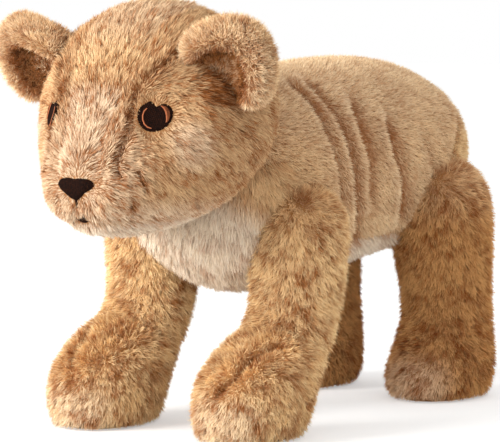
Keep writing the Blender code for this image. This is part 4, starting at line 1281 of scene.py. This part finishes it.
def dress_ear(number, word, side):
    """An ear with its rim rolled forward round a deep hollow, with painted shade under the roll and down in
    the hollow.
    """
    nodes = (f"{word}_ear_back", f"{word}_ear_lining")
    ear = stuffed(f"{word}_ear_padding", nodes, voxel=0.0021, smoothing=4, most_swell=0.0012)
    points, normals = surface_of(ear)
    up, reach, radial, forward = ear_places(points, side)
    faces_front = ease(normals @ forward, -0.1, 0.3)
    roll = bell(reach - 0.76, 0.20) * mm(7.5)
    basin = (1 - ease(reach, 0.36, 0.62)) * mm(4.2)
    points += forward * (faces_front * (roll - basin))[:, None]
    points += radial * (ease(reach, 0.45, 0.95) * mm(2.6))[:, None]
    points -= up * ((1 - ease(reach, 0.30, 0.62)) * mm(6.5))[:, None]
    set_points(ear.data, points)
    normals = normals_of(ear.data)
    outwards = ease(reach, 0.35, 0.75)[:, None] * 2 - 1
    outwards = np.where(faces_front[:, None] > 0.5, outwards, 1)
    # Painted shade under the rolled rim and over the front of the ear below it, where the pile is also
    # shorter
    shade_under_roll = bell(reach - 0.56, 0.13)
    shaded_cavity = faces_front * np.maximum(shade_under_roll, 0.50 * (1 - ease(reach, 0.46, 0.68)))
    prepare_skin(ear, along_surface(radial * outwards, normals), fold=shaded_cavity * 1.6, pile=1 - shaded_cavity * 0.65,
                 gold=0.15, pale=0.16 * faces_front)
    cover = 1 - ease(depths_inside(points, head_tree), 0.003, 0.005)
    for part, share, seed in (("back", 1 - faces_front, 51), ("lining", faces_front, 53)):
        grow(f"{word}_ear_{part}_pile", ear, (share >= 0.5) * cover, EAR_PILE, EAR_STRANDS, seed + number,
             f"{word}_ear", strands=4.2e6)
    dress(ear, f"{word}_ear", "tan_plush", TAN_BACKING, 0.5, *nodes)


# Legs and soles

RIM_STEPS = 72
RIM_WINDOW = 0.08
RIM_INSET = mm(1.6)


def edge_stitches(points, height, dash=0.0030, rest=0.0016):
    """Short stitches round the widest line of a flat pad."""
    middle = (points.min(0) + points.max(0)) / 2
    flat = points[:, :2] - middle[:2]
    angles = np.arctan2(flat[:, 1], flat[:, 0])
    reach = np.hypot(flat[:, 0], flat[:, 1])
    turns = -math.pi + math.tau * np.arange(RIM_STEPS) / RIM_STEPS
    rim = []
    for turn in turns:
        close = np.abs((angles - turn + math.pi) % math.tau - math.pi) < RIM_WINDOW
        rim.append(reach[close].max() - RIM_INSET)
    rim = np.convolve(np.r_[rim[-2:], rim, rim[:2]], np.full(5, 0.2), "valid")
    x, y = middle[:2]
    line = [Vector((x + r * math.cos(a), y + r * math.sin(a), height)) for r, a in zip(rim, turns)]
    line.append(line[0])
    gone, stitches = 0.0, []
    for a, b in zip(line, line[1:]):
        if gone % (dash + rest) < dash:
            stitches.append([a, a.lerp(b, 0.8)])
        gone += (b - a).length
    return stitches


def dress_sole(leg, body):
    """The cloth sole under a paw, with the stitches round its edge."""
    pad = stuffed(f"{leg}_sole_pad", (f"{leg}_sole",), voxel=0.0012, smoothing=2, most_swell=0.0004)
    points = points_of(pad.data)
    points[:, 2] = np.maximum(points[:, 2], 0.0)
    set_points(pad.data, points)
    dress(pad, body, "gold_plush", SOLE_CLOTH, 0.4, f"{leg}_sole")
    thread(f"{leg}_sole_stitches", edge_stitches(points, mm(0.5)), SEAM_THREAD, body, 0.00035)


def dress_leg(number, leg):
    """A leg of longer pile. A front leg has a fold over its wrist, with painted shade in it and in the crease
    round the wrist; a hind one has a fuller hip, and pile darkened as painted shade.
    """
    limb, body = limbs[leg], f"{leg}_limb"
    front, side = leg.startswith("front"), 1 if leg.endswith("left") else -1
    points, normals = surface_of(limb)
    toe = points[:, 1].min()
    paw_front = ease(-(points[:, 1] - toe), -0.022, -0.004) * ease(-points[:, 2], -0.040, -0.020)
    gold = 1 - ease(points[:, 2], 0.115, 0.165) * (0.75 if front else 0.85)
    wrist_shade = np.zeros(len(points))
    comb = limb_comb(points, normals)
    if front:
        # Painted shade in the crease round the wrist and, stronger, in the fold over it, where the pile is
        # also shorter
        wrist_shade = crease(points, normals, on_side(WRIST, side), 0.0055, 0.0016) * 0.2
        there = [limb_trees[leg].find_nearest(place)[0] for place in on_side(WRIST_FOLD, side)]
        wrist_shade = np.maximum(wrist_shade, crease(points, normals, there, 0.0038, 0.0038) * 1.6)
        comb = parted(comb, points, normals, there, mm(9), 0.8)
    else:
        raise_bumps(points, normals, [HIP_BUMP], side)
    set_points(limb.data, points)
    pile = 1 - 0.55 * np.clip(wrist_shade, 0, 1)
    prepare_skin(limb, comb, fold=wrist_shade, gold=gold, pale=paw_front * 0.5, pile=pile)
    underneath = ease(-normals[:, 2], 0.75, 0.9) * (points[:, 2] < 0.01)
    cover = (1 - ease(depths_inside(points, torso_tree), 0.005, 0.008)) * (1 - underneath)
    finish = LEG_PILE if front else HIND_SHADE_AND_TUFT_PILE
    grow(f"{leg}_pile", limb, cover, finish, LEG_STRANDS, 41 + number, body)
    dress(limb, body, "gold_plush", GOLD_BACKING, 0.7, *limb_nodes[leg])
    dress_sole(leg, body)


# Tail and neck


def dress_tail():
    tail = stuffed("tail_padding", ("tail",), voxel=0.0020, smoothing=4, most_swell=0.0012)
    points = prepare_skin(tail, tail_comb)
    cover = 1 - ease(depths_inside(points, torso_tree), 0.004, 0.006)
    grow("tail_pile", tail, cover, BODY_PILE, TAIL_STRANDS, 61, "hanging_tail", strands=3.6e6)
    dress(tail, "hanging_tail", "tan_plush", TAN_BACKING, 0.6, "tail")
    tuft = stuffed("tail_tuft_padding", ("tail_tuft",), voxel=0.0020, smoothing=4, most_swell=0.0012)
    cover = np.ones(len(prepare_skin(tuft, tail_comb, gold=1, fold=0.35)))
    grow("tail_tuft_pile", tuft, cover, HIND_SHADE_AND_TUFT_PILE, TUFT_STRANDS, 62, "hanging_tail",
         strands=5.0e6)
    dress(tuft, "hanging_tail", "gold_plush", GOLD_BACKING, 0.6, "tail_tuft")


def dress_neck():
    neck = stuffed("neck_padding", ("neck_stuffing",), voxel=0.0035, smoothing=4, most_swell=0.0010)
    points = prepare_skin(neck, torso_comb)
    cover = 1 - ease(depth_in_any(points, (torso_tree, head_tree)), 0.006, 0.009)
    grow("neck_pile", neck, cover, BODY_PILE, NECK_STRANDS, 63, "neck", strands=1.6e6)
    dress(neck, "neck", "fibre_fill", TAN_BACKING, 0.6, "neck_stuffing")


# The whole cub

torso_nodes = (*TORSO_PANELS, "torso_stuffing")
head_nodes = (*HEAD_PANELS, "head_stuffing")
limb_nodes = {leg: (f"{leg}_leg", f"{leg}_leg_stuffing") for leg in LEGS}
torso = stuffed("torso_padding", torso_nodes, voxel=0.0045, smoothing=8, finer=2)
head = stuffed("head_padding", head_nodes, voxel=0.0042, smoothing=6)
limbs = {leg: stuffed(f"{leg}_padding", limb_nodes[leg], voxel=0.0040, smoothing=6) for leg in LEGS}
limb_trees = {leg: tree_of(limb) for leg, limb in limbs.items()}
ease_into_limbs(torso, height=0.0045, width=0.014)
torso_folds, torso_ridge_highlight = fold_torso(torso)
head_fold_shade = shape_head(head)
torso_tree, head_tree = tree_of(torso), tree_of(head)
dress_torso()
dress_head()
stitch_face()
for number, (word, side) in enumerate(SIDES):
    dress_ear(number, word, side)
for number, leg in enumerate(LEGS):
    dress_leg(number, leg)
dress_tail()
dress_neck()

bpy.data.objects.remove(STRAND)
bpy.context.view_layer.update()
